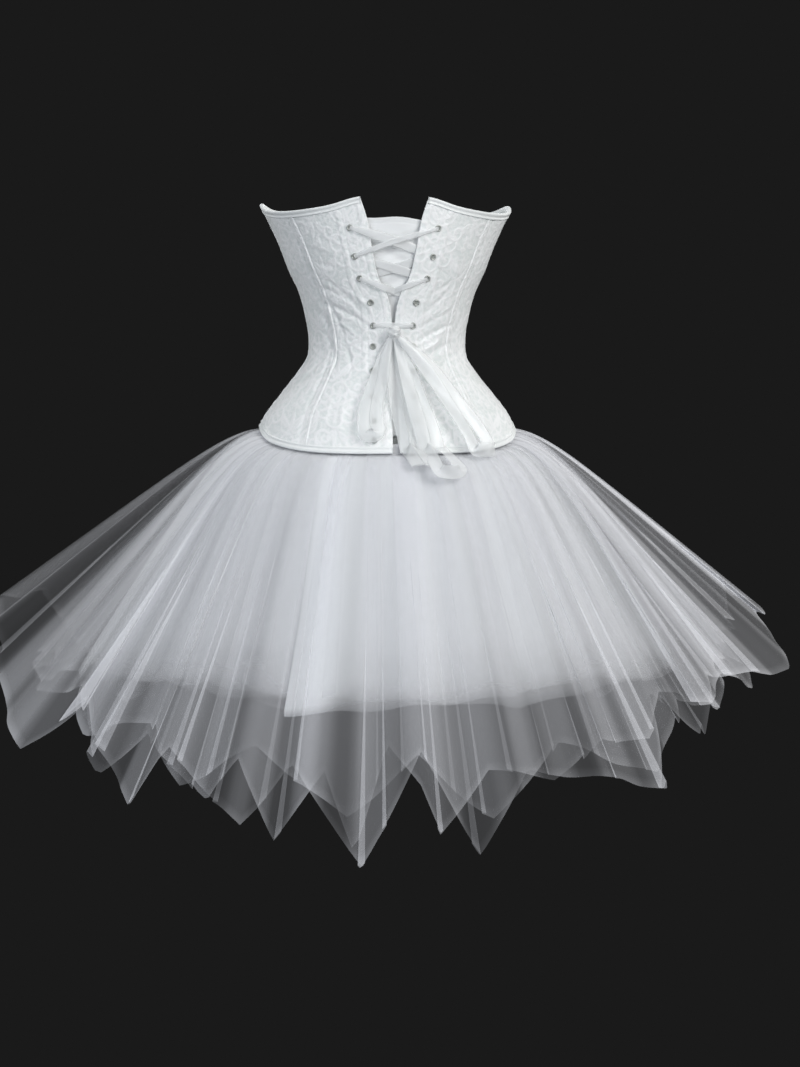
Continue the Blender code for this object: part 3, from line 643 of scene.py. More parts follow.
EYELET_HEIGHTS = (147, 109, 80, 48, 17, -11, -44, -79, -111, -137)
EYELET_INSET = 25.0  # from the laced edge
EYELET_SEAT = 0.3  # its foot over the panel's face
EYELET_PROFILE = np.array([  # radius, lift from the cloth
    (4.5, 0.15), (4.55, 0.7), (4.2, 1.35), (3.7, 1.7), (3.1, 1.55), (2.7, 1.1), (2.55, 0.5), (0.02, 0.45),
])


def eyelet_place(row, side):
    """Angle and height of an eyelet, set in from the laced edge. Rows are counted from the top, from 1."""
    height = float(EYELET_HEIGHTS[row - 1])
    away = smooth(height, BACK_GAP, 1) + EYELET_INSET
    return side * float(np.degrees(np.arcsin(away / smooth(height, BODY, 1)))), height


for side, word in ((-1, "left"), (1, "right")):
    rings = []
    turn = np.radians(np.arange(0, 360, 12.0))[None, :]
    for row in range(1, len(EYELET_HEIGHTS) + 1):
        angle, height = eyelet_place(row, side)
        seat = on_corset(angle, height, EYELET_SEAT)
        outward = on_corset(angle, height, EYELET_SEAT + 1) - seat
        level = np.cross((0, 0, 1.0), outward)
        level /= np.linalg.norm(level)
        upward = np.cross(outward, level)
        radius, rise = EYELET_PROFILE[:, :1], EYELET_PROFILE[:, 1:]
        rings.append(
            seat + (radius * np.cos(turn))[..., None] * level + (radius * np.sin(turn))[..., None] * upward
            + (rise + 0 * turn)[..., None] * outward)
    ring = grid_corners(len(EYELET_PROFILE), turn.size, ring=True)
    count = len(EYELET_PROFILE) * turn.size
    corners = np.concatenate([ring + count * k for k in range(len(rings))])
    # the disc over each eyelet's hole takes the second finish, its painted shade
    dark = np.tile(np.arange(len(ring)) >= len(ring) - turn.size, len(rings))
    points = np.concatenate(rings).reshape(-1, 3)
    eyelets = sew(f"eyelets_{word}", points, corners, [nickel, hole], finish_of=dark)
    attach(eyelets, "root")
    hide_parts(*[f"eyelet_{word}_{row:02d}" for row in range(1, len(EYELET_HEIGHTS) + 1)])


# Lacing. One long white satin ribbon, laced crosswise through the eyelets and drawn tight to the waist. Some
# stretches dive through the opening halfway. The ribbon is narrowed where it goes into its eyelets.
# ribbon satin: thin polyester ribbon, glossier than the bindings, slightly see-through where single
PULLED_OPACITY, OPEN_OPACITY, KNOT_OPACITY = 0.5, 0.34, 0.6  # of one of the ribbon's two faces
ribbon_satin, ribbon_shader = new_finish("ribbon satin", {
    "Base Color": linear("#f8fafa"), "Roughness": 0.3, "Specular IOR Level": 0.6, "Sheen Weight": 0.15,
    "Anisotropic": 0.5,
})
ribbon_closeness = add_node(ribbon_satin, "ShaderNodeAttribute", attribute_name="closeness").outputs["Fac"]
ribbon_satin.node_tree.links.new(ribbon_closeness, ribbon_shader.inputs["Alpha"])
thread_bump(ribbon_satin, ribbon_shader, (50.0, 1500.0), strength=0.3, depth=0.0002)

RIBBON_WIDTH = 19.0  # lying open
PULLED_WIDTH = 5.0  # drawn through an eyelet
RIBBON_THICK = 0.7  # thicker than real satin ribbon, so that its two faces stay apart
OUTSIDE_LIFT, INSIDE_LIFT, CROSS_LIFT = 2.7, -3.5, 1.3  # over the cloth, under it, and over another stretch
STRETCH_BOW, STRETCH_CUP = 1.2, 0.5  # how far a stretch bows off a straight line, and across its width
STRETCHES = (  # name, row and side at its start and end, 1 outside or -1 inside, rise, dive, width
    ("lace_1_left", 1, -1, 2, 1, 1, 0, 0.58, 13.0), ("lace_1_right", 1, 1, 2, -1, 1, 1, None, 7.5),
    ("lace_2_left", 2, -1, 3, 1, -1, 0, None, 12.0), ("lace_2_right", 2, 1, 3, -1, -1, 1, None, 12.0),
    ("lace_3_left", 3, -1, 4, 1, 1, 1, 0.50, 9.0), ("lace_3_right", 3, 1, 4, -1, 1, 0, 0.50, 7.5),
    ("lace_5_across", 5, -1, 5, 1, 1, 0, None, 6.5), ("lace_6_left", 6, -1, 7, 1, -1, 0, None, 10.5),
    ("lace_6_right", 6, 1, 7, -1, -1, 1, None, 10.5), ("lace_8_left", 8, -1, 9, 1, -1, 0, None, 10.5),
    ("lace_8_right", 8, 1, 9, -1, -1, 1, None, 10.5),
)
DIVE = 0.035  # share of a stretch over which it turns inwards
RIBBON_SECTION = np.array([  # shares of the half width and of the thickness: over its face, then under it
    (-1.0, 0.0), (-0.93, 0.5), (-0.5, 0.5), (0.0, 0.5), (0.5, 0.5), (0.93, 0.5),
    (1.0, 0.0), (0.93, -0.5), (0.5, -0.5), (0.0, -0.5), (-0.5, -0.5), (-0.93, -0.5),
])


def unit(vectors):
    """Vectors divided by their lengths."""
    return vectors / np.linalg.norm(vectors, axis=-1, keepdims=True)


def ribbon(name, path, outward, width, cup, opacity, finish):
    """A thin strip along a path. Its section is a flat lens, bowed outwards in its middle by cup. opacity is
    the share of the light that each of its two faces stops."""
    along = unit(np.gradient(path, axis=0))
    face = unit(outward - along * (outward * along).sum(-1, keepdims=True))
    level = np.cross(face, along)
    share, thick = RIBBON_SECTION[:, 0], RIBBON_SECTION[:, 1]
    bow = (np.asarray(cup)[:, None] * (1 - share ** 2))[..., None] * face[:, None, :]
    sections = (
        path[:, None, :] + (np.asarray(width)[:, None] / 2 * share)[..., None] * level[:, None, :]
        + (thick * RIBBON_THICK)[:, None] * face[:, None, :] + bow
    )
    run = np.concatenate([[0], np.cumsum(np.linalg.norm(np.diff(path, axis=0), axis=-1))])
    flat = np.stack(np.broadcast_arrays(run[:, None], share * RIBBON_WIDTH / 2), axis=-1).reshape(-1, 2) * MM
    return sew(
        name, sections.reshape(-1, 3), carried(sections)[:, ::-1], [finish], flat_map=flat,
        weights={"closeness": np.repeat(opacity + 0 * run, len(share))})


for name, row, side, to_row, to_side, level, rise, dive, ribbon_width in STRETCHES:
    (angle_a, height_a), (angle_b, height_b) = eyelet_place(row, side), eyelet_place(to_row, to_side)
    share = np.linspace(0, 1, 51)
    angle = angle_a * (1 - share) + angle_b * share
    height = height_a * (1 - share) + height_b * share + STRETCH_BOW * level * np.sin(np.pi * share)
    base = OUTSIDE_LIFT if level > 0 else INSIDE_LIFT
    lift = base + level * rise * CROSS_LIFT * np.minimum(1, 2 * np.sin(np.pi * share) ** 2)
    if dive:
        lift = lift + (INSIDE_LIFT - lift) / (1 + np.exp((dive - share) / DIVE))
    path = on_corset(angle, height, lift)
    outward = on_corset(angle, height, lift + 1) - path
    width = PULLED_WIDTH + (ribbon_width - PULLED_WIDTH) * np.minimum(1, 1.3 * np.sin(np.pi * share))
    strip = ribbon(
        name.replace("lace", "lacing"), path, outward, width, STRETCH_CUP * np.sin(3 * np.pi * share),
        PULLED_OPACITY, ribbon_satin)
    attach(strip, "root")
    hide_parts(name)


# Knot, loops and loose ends. The ribbon's ends are tied at the waist, and its spare length hangs from the
# knot over the lower lacing and the top of the skirt, in three long loops and two loose ends. It is thin
# white ribbon, limp, so it lies on what is behind it.
KNOT_HEIGHT, KNOT_LIFT = 9.0, 4.6  # its middle's height, and how far its inner side stands off the cloth
KNOT_SIZE = (18.0, 18.0, 14.0)
turn, tilt = np.meshgrid(np.radians(np.arange(0, 360, 7.5)), np.radians(np.linspace(-89, 89, 27)))
wraps = 1 + 0.07 * np.sin(3 * turn + 5 * tilt) + 0.05 * np.cos(7 * tilt - 2 * turn)
knot_middle = body(0.0, KNOT_HEIGHT) - np.array([0, KNOT_LIFT + KNOT_SIZE[1] / 2, 0])
knot_points = knot_middle + np.stack(
    [KNOT_SIZE[0] / 2 * np.cos(tilt) ** 0.7 * np.sin(turn) * wraps,
     -KNOT_SIZE[1] / 2 * np.cos(tilt) ** 0.7 * np.cos(turn) * wraps,
     KNOT_SIZE[2] / 2 * np.sin(tilt) * wraps], axis=-1)
knot = sew(
    "ribbon_knot", knot_points.reshape(-1, 3), grid_corners(*turn.shape, ring=True), [ribbon_satin],
    flat_map=np.stack([turn.ravel() * 9, tilt.ravel() * 7], axis=-1) * MM,
    weights={"closeness": np.full(turn.size, KNOT_OPACITY)})
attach(knot, "root")
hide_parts("bow_knot")

TAILS = (  # piece, CAD node, sideways at the knot, halfway and at the end, length, lift, spread of a loop
    ("loose_end_left", "ribbon_tail_left", -3, -2, 20, 208, 7.0, 0),
    ("loose_end_right", "ribbon_tail_right", 3, 14, 36, 206, 8.6, 0),
    ("loop_left", "ribbon_loop_left", -4, -31, -42, 133, 10.2, 17),
    ("loop_middle", "ribbon_loop_middle", 1, 44, 62, 214, 14.4, -24),
    ("loop_right", "ribbon_loop_right", 4, 80, 118, 160, 18.6, -24),
)
LOOP_GAP, LOOP_DROOP = 2.6, 6.0  # between a loop's two sides, and how far its bottom hangs below them
HOLD_BELOW = 2.5  # the skirt comes out this far below the corset's edge
RIBBON_CLEAR = 7.0  # the ribbon leaves the corset this far above that, and so lies on the skirt
SPRING_SLOPE, SPRING_LENGTH = 4.0, 42.0  # the skirt's slope as it comes out, and how slowly it grows steep
NARROWEST, OPENS_OVER = 0.35, 60.0  # share of the ribbon's width at the knot, and how far on it is all there
UNEVEN_WIDTH, SWAY, CUP, WANDER = 0.10, 0.30, 1.6, 2.0  # of the hanging ribbon: its width, turn, bow and line


def back_drop(across, down, lift, slope=55.0):
    """A point hanging down the back from the knot: on the corset, and past its hem on a curve that springs
    out to the skirt's slope, as the skirt does."""
    reach = KNOT_HEIGHT - HEM_EDGE[0, 1] + HOLD_BELOW - RIBBON_CLEAR
    height = KNOT_HEIGHT - np.minimum(down, reach)
    turn = np.arcsin(across / smooth(height, BODY, 1))
    outward = np.stack([np.sin(turn), -np.cos(turn), 0 * turn], axis=-1)
    past = np.maximum(down - reach, 0)
    ticks = np.linspace(0, 1, 40)
    tilt = np.radians(slope - (slope - SPRING_SLOPE) * np.exp(-past[:, None] * ticks / SPRING_LENGTH))
    out, fall = np.cos(tilt).mean(-1) * past, np.sin(tilt).mean(-1) * past
    over = body(np.degrees(turn), height) + outward * (lift + out)[:, None]
    return over - np.stack([0 * fall, 0 * fall, fall], axis=-1)


start = KNOT_SIZE[2] / 2 + 0.3
for name, node, at_knot, halfway, at_end, length, lift, spread in TAILS:
    share = np.linspace(0, 1, 60)
    across = at_knot * (1 - share) ** 2 + 2 * share * (1 - share) * halfway + at_end * share ** 2
    across = across + WANDER * np.sin(3 * np.pi * share + lift) * share
    down = start + (length - start) * share
    lifts = lift + 0 * share
    if spread:
        turn = np.linspace(0, np.pi, 14)[1:-1]
        opened = across + spread * share ** 0.8
        low = (across[-1] + opened[-1]) / 2 - (opened[-1] - across[-1]) / 2 * np.cos(turn)
        across = np.concatenate([across, low, opened[::-1]])
        down = np.concatenate([down, length + LOOP_DROOP * np.sin(turn), down[::-1]])
        lifts = np.concatenate([lifts, lift + LOOP_GAP / 2 * (1 - np.cos(turn)), lifts + LOOP_GAP])
    path = back_drop(across, down, lifts)
    outward = back_drop(across, down, lifts + 1) - path
    run = np.concatenate([[0], np.cumsum(np.linalg.norm(np.diff(path, axis=0), axis=-1))])
    from_ends = np.minimum(run, run[-1] - run) if spread else run
    opening = NARROWEST + (1 - NARROWEST) * np.clip(from_ends / OPENS_OVER, 0, 1) ** 0.8
    width = RIBBON_WIDTH * opening * (1 + UNEVEN_WIDTH * np.sin(run / 31 + lift))
    sway = np.array([[1.0, 0, 0]]) * (SWAY * np.sin(run / 34 + lift))[:, None]
    opacity = OPEN_OPACITY + (PULLED_OPACITY - OPEN_OPACITY) * (1 - opening) / (1 - NARROWEST)
    strip = ribbon(name, path, outward + sway, width, CUP * np.sin(run / 29 + lift), opacity, ribbon_satin)
    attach(strip, "root")
    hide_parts(node)


# Gathering band. A firm satin strip inside the corset's hem, on which the layers of the skirt are gathered
# and sewn. Only its lower edge can be seen, from below.
BAND_INSET, BAND_WALL = 9.5, 2.0  # its outer side from the corset's face, and its thickness
angle = np.arange(0, 360, 1.5)[:, None]
band_rise = np.array([2, 2, 5, 11, 14, 14, 11, 5])  # over the corset's edge
band_out = np.array([0, -1, -1, -1, -1, 0, 0, 0]) * BAND_WALL - BAND_INSET
height = smooth(turned(angle), HEM_EDGE, 1) + band_rise
sections = on_corset(angle, height, band_out + 0.3 * np.sin(angle * 1.1))
corners = grid_corners(len(band_rise), len(angle), ring=True)
turned_sections = sections.transpose(1, 0, 2)
closing = np.stack([
    (len(band_rise) - 1) * len(angle) + np.arange(len(angle)),
    (len(band_rise) - 1) * len(angle) + (np.arange(len(angle)) + 1) % len(angle),
    (np.arange(len(angle)) + 1) % len(angle), np.arange(len(angle))], axis=-1)
band = sew(
    "gathering_band", turned_sections.reshape(-1, 3), np.concatenate([corners, closing])[:, ::-1], [satin],
    flat_map=np.stack(np.broadcast_arrays(angle.T * 2.4, band_rise[:, None]), axis=-1).reshape(-1, 2) * MM)
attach(band, "root")
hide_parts("skirt_band")


# The skirt. Three layers of soft white nylon tulle, cut to pointed hems, lie over two level layers of stiffer
# and denser net. All are gathered and sewn on the band, spring out under the corset's edge and hang in narrow
# and broad folds. The net lets light through, and less of it where it is gathered or folded close.
UNDER = np.array([  # angle, length, slope at the hem
    (0, 377, 63), (10, 370, 63), (22, 362, 63), (33, 358, 62), (60, 395, 62), (92, 415, 60), (120, 410, 61),
    (150, 395, 62), (180, 405, 63), (215, 395, 62), (240, 412, 60), (272, 428, 57), (290, 412, 58),
    (302, 384, 61), (316, 360, 63), (330, 360, 63), (339.9, 366, 63), (340.1, 391, 63), (348, 384, 63),
    (360, 377, 63),
], dtype=float)
UNDER_SECOND = np.array([
    (0, 368, 63), (8, 374, 63), (18, 382, 63), (28, 378, 62), (38, 374, 62), (60, 388, 62), (92, 396, 60),
    (130, 412, 61), (180, 396, 63), (230, 390, 61), (272, 410, 58), (294, 392, 60), (314, 372, 62),
    (330, 372, 63), (346, 366, 63), (360, 368, 63),
], dtype=float)
MIDDLE = np.array([
    (0, 493, 59), (2, 553, 59), (9, 473, 59), (18, 493, 58), (27, 453, 57), (36, 467, 57), (45, 413, 56),
    (58, 460, 55), (68, 440, 52), (80, 500, 50), (92, 440, 49), (104, 500, 49), (120, 450, 52),
    (136, 540, 55), (152, 470, 56), (168, 550, 58), (180, 480, 59), (192, 550, 58), (208, 470, 56),
    (224, 540, 54), (240, 450, 51), (252, 500, 49), (268, 440, 49), (288, 470, 51), (300, 430, 53),
    (314, 527, 55), (318, 453, 56), (332, 520, 58), (336, 467, 58), (342, 560, 59), (348, 473, 59),
    (352, 573, 59), (356, 433, 59), (360, 493, 59),
], dtype=float)
OUTER = np.array([
    (0, 460, 56), (6, 587, 56), (13, 487, 56), (22, 507, 55), (32, 540, 54), (37, 413, 53), (43, 493, 51),
    (51, 427, 49), (70, 500, 43), (80, 446, 40), (94, 378, 39), (108, 500, 42), (120, 450, 45),
    (136, 530, 49), (152, 460, 53), (168, 550, 55), (180, 490, 56), (192, 550, 55), (208, 460, 53),
    (224, 530, 49), (240, 450, 44), (252, 410, 39), (263, 440, 36), (284, 462, 41), (303, 547, 48),
    (307, 447, 50), (324, 560, 54), (326, 473, 54), (339, 560, 55), (344, 473, 55), (353, 600, 56),
    (360, 460, 56),
], dtype=float)
INNER = np.array([
    (0, 450, 60), (9, 532, 60), (21, 440, 60), (37, 508, 59), (52, 428, 57), (66, 478, 55), (82, 428, 52),
    (98, 482, 50), (116, 425, 52), (136, 500, 54), (156, 435, 56), (176, 512, 58), (194, 440, 58),
    (214, 505, 56), (234, 430, 53), (250, 488, 51), (264, 420, 51), (278, 464, 51), (292, 415, 53),
    (304, 484, 55), (317, 436, 57), (327, 508, 58), (338, 446, 58), (351, 526, 60), (360, 450, 60),
], dtype=float)
WAVES, WAVE_DEPTH, WAVE_LENGTH = 30, 10.0, 500.0  # waves round a layer, and their depth that far down it
OUTER_FOLDS = np.array([  # angle, half width, strength, depth; below 0 the fold lies the other way
    (0.5, 0.3, 2.6, 3), (5.6, 0.35, 2.6, -3), (16.0, 0.4, 2.6, 4), (24.5, 0.4, 2.6, 4),
    (32.0, 0.5, 2.6, -4), (38.5, 0.5, 2.6, 4), (43.5, 0.9, 2.4, 5), (52.0, 0.8, 2.4, -5),
    (61.0, 0.9, 2.4, -6), (82.0, 1.2, 2.2, 7), (104.0, 1.2, 2.4, -7), (123.0, 1.3, 2.4, 7),
    (141.0, 1.0, 2.6, -6), (163.0, 1.2, 2.4, 7), (181.0, 1.0, 2.6, -6), (199.0, 1.2, 2.4, 7),
    (219.0, 1.1, 2.4, -7), (235.0, 1.3, 2.2, 7), (285.5, 0.8, 2.4, 5),
    (306.0, 0.9, 2.6, 6), (315.0, 0.7, 2.6, 5), (324.0, 0.4, 2.6, -4), (328.0, 0.35, 2.6, 3),
    (335.5, 0.3, 2.6, 3), (341.0, 0.35, 2.8, 4), (345.0, 0.3, 2.6, -3), (353.0, 0.3, 2.8, 3),
    (355.5, 0.25, 2.6, -3),
])
MIDDLE_FOLDS = np.array([
    (2.0, 0.35, 2.6, 3), (11.5, 0.35, 2.6, -3), (22.7, 0.45, 2.6, 4), (30.0, 0.4, 2.6, 3),
    (38.0, 0.5, 2.4, -4), (46.0, 0.9, 2.4, 5), (56.0, 0.9, 2.4, 5), (70.0, 0.9, 2.2, -6),
    (94.0, 1.2, 2.2, 7), (115.0, 1.3, 2.2, -7),
    (133.0, 1.2, 2.2, 7), (152.0, 1.2, 2.2, -7), (172.0, 1.1, 2.4, 6), (191.0, 1.2, 2.2, -7),
    (210.0, 1.3, 2.2, 7), (230.0, 1.2, 2.4, -7), (303.0, 0.9, 2.6, -6),
    (311.0, 0.8, 2.6, 5), (320.0, 0.35, 2.6, -4), (329.0, 0.35, 2.6, -3),
    (325.5, 0.35, 2.6, 4), (334.0, 0.4, 2.6, -4), (342.5, 0.3, 2.8, 3), (354.7, 0.25, 2.6, 3),
])
INNER_FOLDS = np.array([
    (4.5, 0.3, 2.6, -3), (8.0, 0.3, 2.6, 3), (20.0, 0.4, 2.6, 3), (27.0, 0.45, 2.6, -4),
    (35.0, 0.45, 2.6, 4), (47.0, 0.6, 2.4, 5), (57.0, 0.6, 2.4, -5),
    (64.0, 0.9, 2.2, -6), (90.0, 1.2, 2.2, 7), (112.0, 1.1, 2.4, -7), (130.0, 1.2, 2.2, 7),
    (150.0, 1.1, 2.4, -7), (170.0, 1.2, 2.4, 7), (190.0, 1.1, 2.6, -7), (212.0, 1.3, 2.2, 7),
    (232.0, 1.2, 2.4, -7), (308.5, 0.9, 2.6, 5), (317.5, 0.5, 2.4, -5),
    (322.0, 0.35, 2.6, 3), (331.0, 0.4, 2.6, 4),
    (344.0, 0.3, 2.6, 3), (358.0, 0.3, 2.6, 3),
])
UNDER_FOLDS = np.array([
    (340.5, 1.6, 1.8, 8), (18.0, 3.4, 0.6, -4), (46.0, 3.0, 0.7, 5), (74.0, 3.4, 0.9, -8),
    (104.0, 3.0, 0.9, 8), (132.0, 3.4, 0.8, -8), (160.0, 3.0, 0.9, 8), (192.0, 3.2, 0.8, -8),
    (220.0, 3.0, 0.9, 8), (250.0, 3.4, 0.8, -8), (278.0, 3.0, 0.8, 6), (306.0, 3.2, 0.7, -5),
    (325.0, 2.6, 0.7, 4),
])
CLOSER = {  # where the gathers are pushed together: angle, half width, more thicknesses
    "dense_tulle": ((344.5, 3.2, 2.6), (2.0, 5.0, 0.6), (24.0, 6.0, 0.3), (333.0, 6.0, -0.3)),
    "tulle": (
        (303.0, 9.0, 1.3), (293.0, 5.0, 0.7), (322.0, 5.0, 0.5), (60.0, 10.0, 1.0), (80.0, 13.0, 2.0),
        (102.0, 13.0, 1.3), (38.0, 5.0, 0.4), (344.5, 3.0, 0.7)),
}
BUNCHED, BUNCH_STEEPNESS = 0.55, 5.0  # how unevenly the tulle is bunched round the band, and how abruptly
FRAY, FRAY_DEPTH = 0.75, (6.0, 26.0)  # the dense net thins out near its cut edge, least at one long fold
CRISP_FOLD = (343.0, 8.0)  # angle and half width of that fold
HEM_SHINE, HEM_SHINE_DEPTH = 0.7, 2.5  # the soft tulle's cut edge shows as a thin brighter line


def skirt_place(angle, down, table, inset, depth=700.0, ticks=160):
    """A layer's point and outward direction at an angle and a distance down from the corset's edge. Above the
    edge it lies inside the corset. Below, its slope goes from nearly level to the table's by an exponential,
    summed in small steps, and broad waves move it square to that slope."""
    turn = np.radians(angle)
    seat_angle = np.degrees(np.arctan2(BODY[1, 1] * np.sin(turn), BODY[1, 2] * np.cos(turn)))
    edge = smooth(turned(seat_angle), HEM_EDGE, 1)
    seat = on_corset(seat_angle, edge - HOLD_BELOW - np.minimum(down, 0), 0 * edge - inset)
    slope_end = np.radians(np.interp(angle % 360, table[:, 0], table[:, 2]))
    first = np.radians(SPRING_SLOPE)
    at = (np.arange(ticks) + 0.5) * depth / ticks
    free = np.clip(down, 0, depth - 1)
    out, fall = 0 * free, 0 * free
    for middle in at:
        slope = slope_end - (slope_end - first) * np.exp(-middle / SPRING_LENGTH)
        part = np.clip(free - middle + depth / ticks / 2, 0, depth / ticks)
        out += np.cos(slope) * part
        fall += np.sin(slope) * part
    strength = 0.7 + 0.3 * np.sin(3 * turn + 0.8) * np.cos(5 * turn)
    wave = strength * np.cos(WAVES * turn) * WAVE_DEPTH * np.maximum(down, 0) / WAVE_LENGTH
    away = np.stack([np.sin(turn), -np.cos(turn), 0 * turn], axis=-1)
    slope = slope_end - (slope_end - first) * np.exp(-free / SPRING_LENGTH)
    outward = away * np.sin(slope)[..., None] + np.stack([0 * slope, 0 * slope, np.cos(slope)], axis=-1)
    point = seat + away * out[..., None] - np.stack([0 * fall, 0 * fall, fall], axis=-1)
    return point + outward * wave[..., None], outward


def column_angles(folds, coarse=0.75, fine=22, reach=2.2, least=0.03):
    """Angles of a layer's columns: even ones, and close ones through each fold, none nearer than least."""
    near = folds[:, :1] + folds[:, 1:2] * np.linspace(-reach, reach, fine)
    angles = np.unique(np.round(np.concatenate([np.arange(0, 360, coarse), near.ravel() % 360]), 3))
    return angles[np.concatenate([[True], np.diff(angles) > least])]


HEM_ZIGZAG = 4.0  # how far a fold's edges stand apart in length at the hem
GATHERS = (430.0, 0.9, 3.0)  # distance from the axis at which the net lies open, power, most thicknesses
LEAST_FACING, FACING_POWER = 0.22, 0.75  # net seen along its face stops more light, up to this least facing
FLUFF = 1.2  # share of the layer's own direction in how its threads catch the light


def tulle_layer(
        name, nodes, table, folds, inset, rows, finish, slot, thinness, length_at_hem, ripples, bunches):
    """One layer of the skirt. Each fold doubles the cloth back: the angle of a column is its own, less a bell
    times its distance from the fold, and the cloth's lift follows the same bell, so its three thicknesses lie
    one over another. Ripples are sines round the layer. Closeness is the share of the light that the net
    stops: one less the share let through by one thickness, to the power of the thicknesses. These grow as the
    cloth is gathered, turned from the layer's own face, bunched (a product of two sines, made steep) or
    pushed together, and the soft tulle's cut edge is a little brighter, while the dense net frays out."""
    own = column_angles(folds)[None, :]
    share = np.concatenate([[-0.03], np.linspace(0, 1, rows) ** 1.15])[:, None]
    centre, half, strength, depth = (folds[:, k][:, None, None] for k in range(4))
    x = ((own[None] - centre + 180) % 360 - 180) / half
    bell = np.exp(-x * x / 2)
    hem_angle = own - (half * strength * x * bell).sum(0)
    hem_zigzag = (HEM_ZIGZAG * np.sign(depth) * x * bell).sum(0)
    length = np.interp(hem_angle % 360, table[:, 0], table[:, 1]) + hem_zigzag
    down = share * length
    grown = np.clip(down / length_at_hem, 0, 1.25)
    ease = grown ** 1.3 * np.clip(down / 60, 0, 1)
    pull, lift = 0 * down, 0 * down
    for k in range(len(folds)):
        pull += half[k] * strength[k] * x[k] * bell[k] * ease
        lift += depth[k] * x[k] * np.exp(-x[k] ** 2 / 2.6) * grown
    angle = own - pull
    rippled = sum(size * np.sin(np.radians(own) * count + phase) for size, count, phase in ripples)
    base, outward = skirt_place(angle, down, table, inset)
    points = base + outward * (lift + rippled * np.clip(down / 40, 0, 1))[..., None]

    closed = np.concatenate([points[:, -1:], points, points[:, :1]], axis=1)
    across = closed[:, 2:] - closed[:, :-2]
    along = np.gradient(points, axis=0)
    normal = unit(np.cross(along, across))
    facing = np.abs((normal * outward).sum(-1))
    girth = np.linalg.norm(points[..., :2], axis=-1)
    gathered = np.clip((GATHERS[0] / np.maximum(girth, 100)) ** GATHERS[1], 1, GATHERS[2])
    thicknesses = gathered / np.maximum(facing, LEAST_FACING) ** FACING_POWER
    hem_line = HEM_SHINE * np.exp(-(length - down) / HEM_SHINE_DEPTH)
    turn = np.radians(own)
    bunched = np.sin(turn * bunches[0] + bunches[2]) * np.sin(turn * bunches[1] + 1)
    thicknesses = thicknesses * (1 + BUNCHED * np.tanh(BUNCH_STEEPNESS * bunched))
    for middle, half_width, more in CLOSER[slot]:
        apart = (own - middle + 180) % 360 - 180
        thicknesses = thicknesses * (1 + more * np.exp(-(apart / half_width) ** 2))
    if slot == "dense_tulle":
        apart = (own - CRISP_FOLD[0] + 180) % 360 - 180
        fray_depth = FRAY_DEPTH[1] - (FRAY_DEPTH[1] - FRAY_DEPTH[0]) * np.exp(-(apart / CRISP_FOLD[1]) ** 2)
        hem_line = -FRAY * np.exp(-(length - down) / fray_depth)
    closeness = 1 - (1 - thinness) ** (thicknesses * (1 + hem_line))
    steps = np.linalg.norm(np.diff(points[-8], axis=0, append=points[-8][:1]), axis=-1)
    around = np.concatenate([[0], np.cumsum(steps)[:-1]])[None, :]
    flat = np.stack(np.broadcast_arrays(around, down), axis=-1).reshape(-1, 2) * MM
    corners = grid_corners(*points.shape[:2], ring=True)[:, ::-1]
    cloth = sew(
        name, points.reshape(-1, 3), corners, [finish], flat_map=flat, weights={"closeness": closeness})
    side = np.where((normal * outward).sum(-1, keepdims=True) < 0, -1.0, 1.0)
    cloth.data.normals_split_custom_set_from_vertices(
        unit(normal + FLUFF * side * outward).reshape(-1, 3).tolist())
    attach(cloth, "root")
    if nodes:
        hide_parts(*nodes)


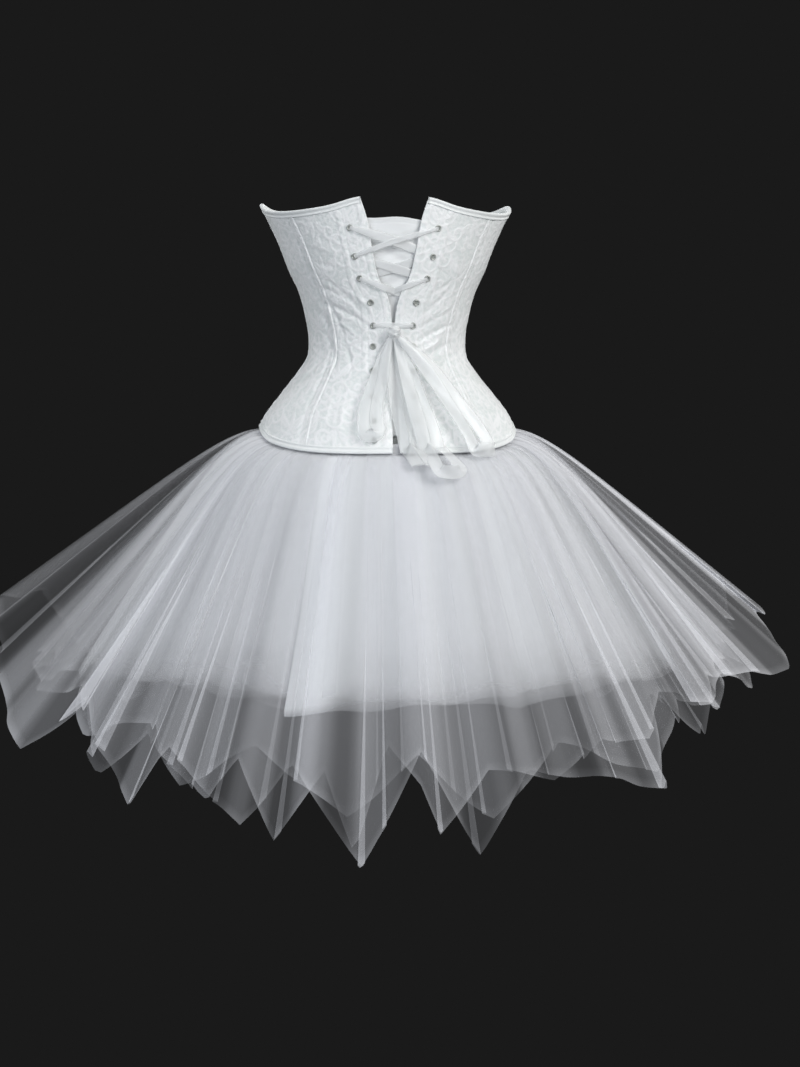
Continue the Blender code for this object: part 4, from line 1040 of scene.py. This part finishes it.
def net(name, tint, mesh_width, sheen):
    """White net: matt threads with holes between, as see-through as its closeness says, and a faint mesh."""
    material, shader = new_finish(name, {
        "Base Color": linear(tint), "Roughness": 0.85, "Specular IOR Level": 0.2, "Sheen Weight": sheen,
        "Sheen Roughness": 0.5,
    })
    threads = add_node(material, "ShaderNodeTexVoronoi", {
        "Vector": add_node(material, "ShaderNodeUVMap", uv_map="flat cloth").outputs["UV"],
        "Scale": 1 / mesh_width, "Randomness": 0.3,
    }, voronoi_dimensions="2D", feature="DISTANCE_TO_EDGE").outputs["Distance"]
    holes = add_node(material, "ShaderNodeMapRange", {
        "Value": threads, "From Min": 0.02, "From Max": 0.3, "To Min": 1.06, "To Max": 0.96,
    }).outputs["Result"]
    closeness = add_node(material, "ShaderNodeAttribute", attribute_name="closeness").outputs["Fac"]
    alpha = add_node(material, "ShaderNodeMath", {
        0: closeness, 1: holes}, operation="MULTIPLY", use_clamp=True).outputs[0]
    material.node_tree.links.new(alpha, shader.inputs["Alpha"])
    return material


soft_tulle = net("soft tulle", "#f4f5f9", 0.0014, 0.3)  # nylon tulle with a hole of about 1 mm
stiff_net = net("stiff under-skirt net", "#f2f4f6", 0.0022, 0.15)  # denser, stiffened net

LAYERS = (  # piece, CAD nodes, hem, folds, inset, rows, finish, slot, thinness, length, ripples, bunches
    ("tulle_outer", [f"outer_{k}" for k in range(1, 6)], OUTER, OUTER_FOLDS, 3.8, 46, soft_tulle, "tulle",
     0.076, 500, ((0.9, 47, 0.4), (0.35, 83, 1.9)), (17, 29, 0.5)),
    ("tulle_middle", [f"middle_{k}" for k in range(1, 6)], MIDDLE, MIDDLE_FOLDS, 5.9, 46, soft_tulle, "tulle",
     0.076, 480, ((0.8, 43, 1.4), (0.3, 91, 0.9)), (19, 31, 2.1)),
    ("tulle_inner", [], INNER, INNER_FOLDS, 7.1, 42, soft_tulle, "tulle",
     0.070, 460, ((0.8, 39, 2.4), (0.35, 79, 0.2)), (13, 37, 1.3)),
    ("net_under", [f"under_{k}" for k in range(1, 4)], UNDER, UNDER_FOLDS, 8.0, 40, stiff_net, "dense_tulle",
     0.31, 400, ((1.1, 37, 0.9), (0.5, 71, 2.2)), (0, 0, 0)),
    ("net_under_second", [], UNDER_SECOND, UNDER_FOLDS[1:], 8.6, 40, stiff_net, "dense_tulle",
     0.26, 400, ((0.9, 41, 2.9), (0.4, 67, 0.2)), (0, 0, 0)),
)
for layer in LAYERS:
    tulle_layer(*layer)
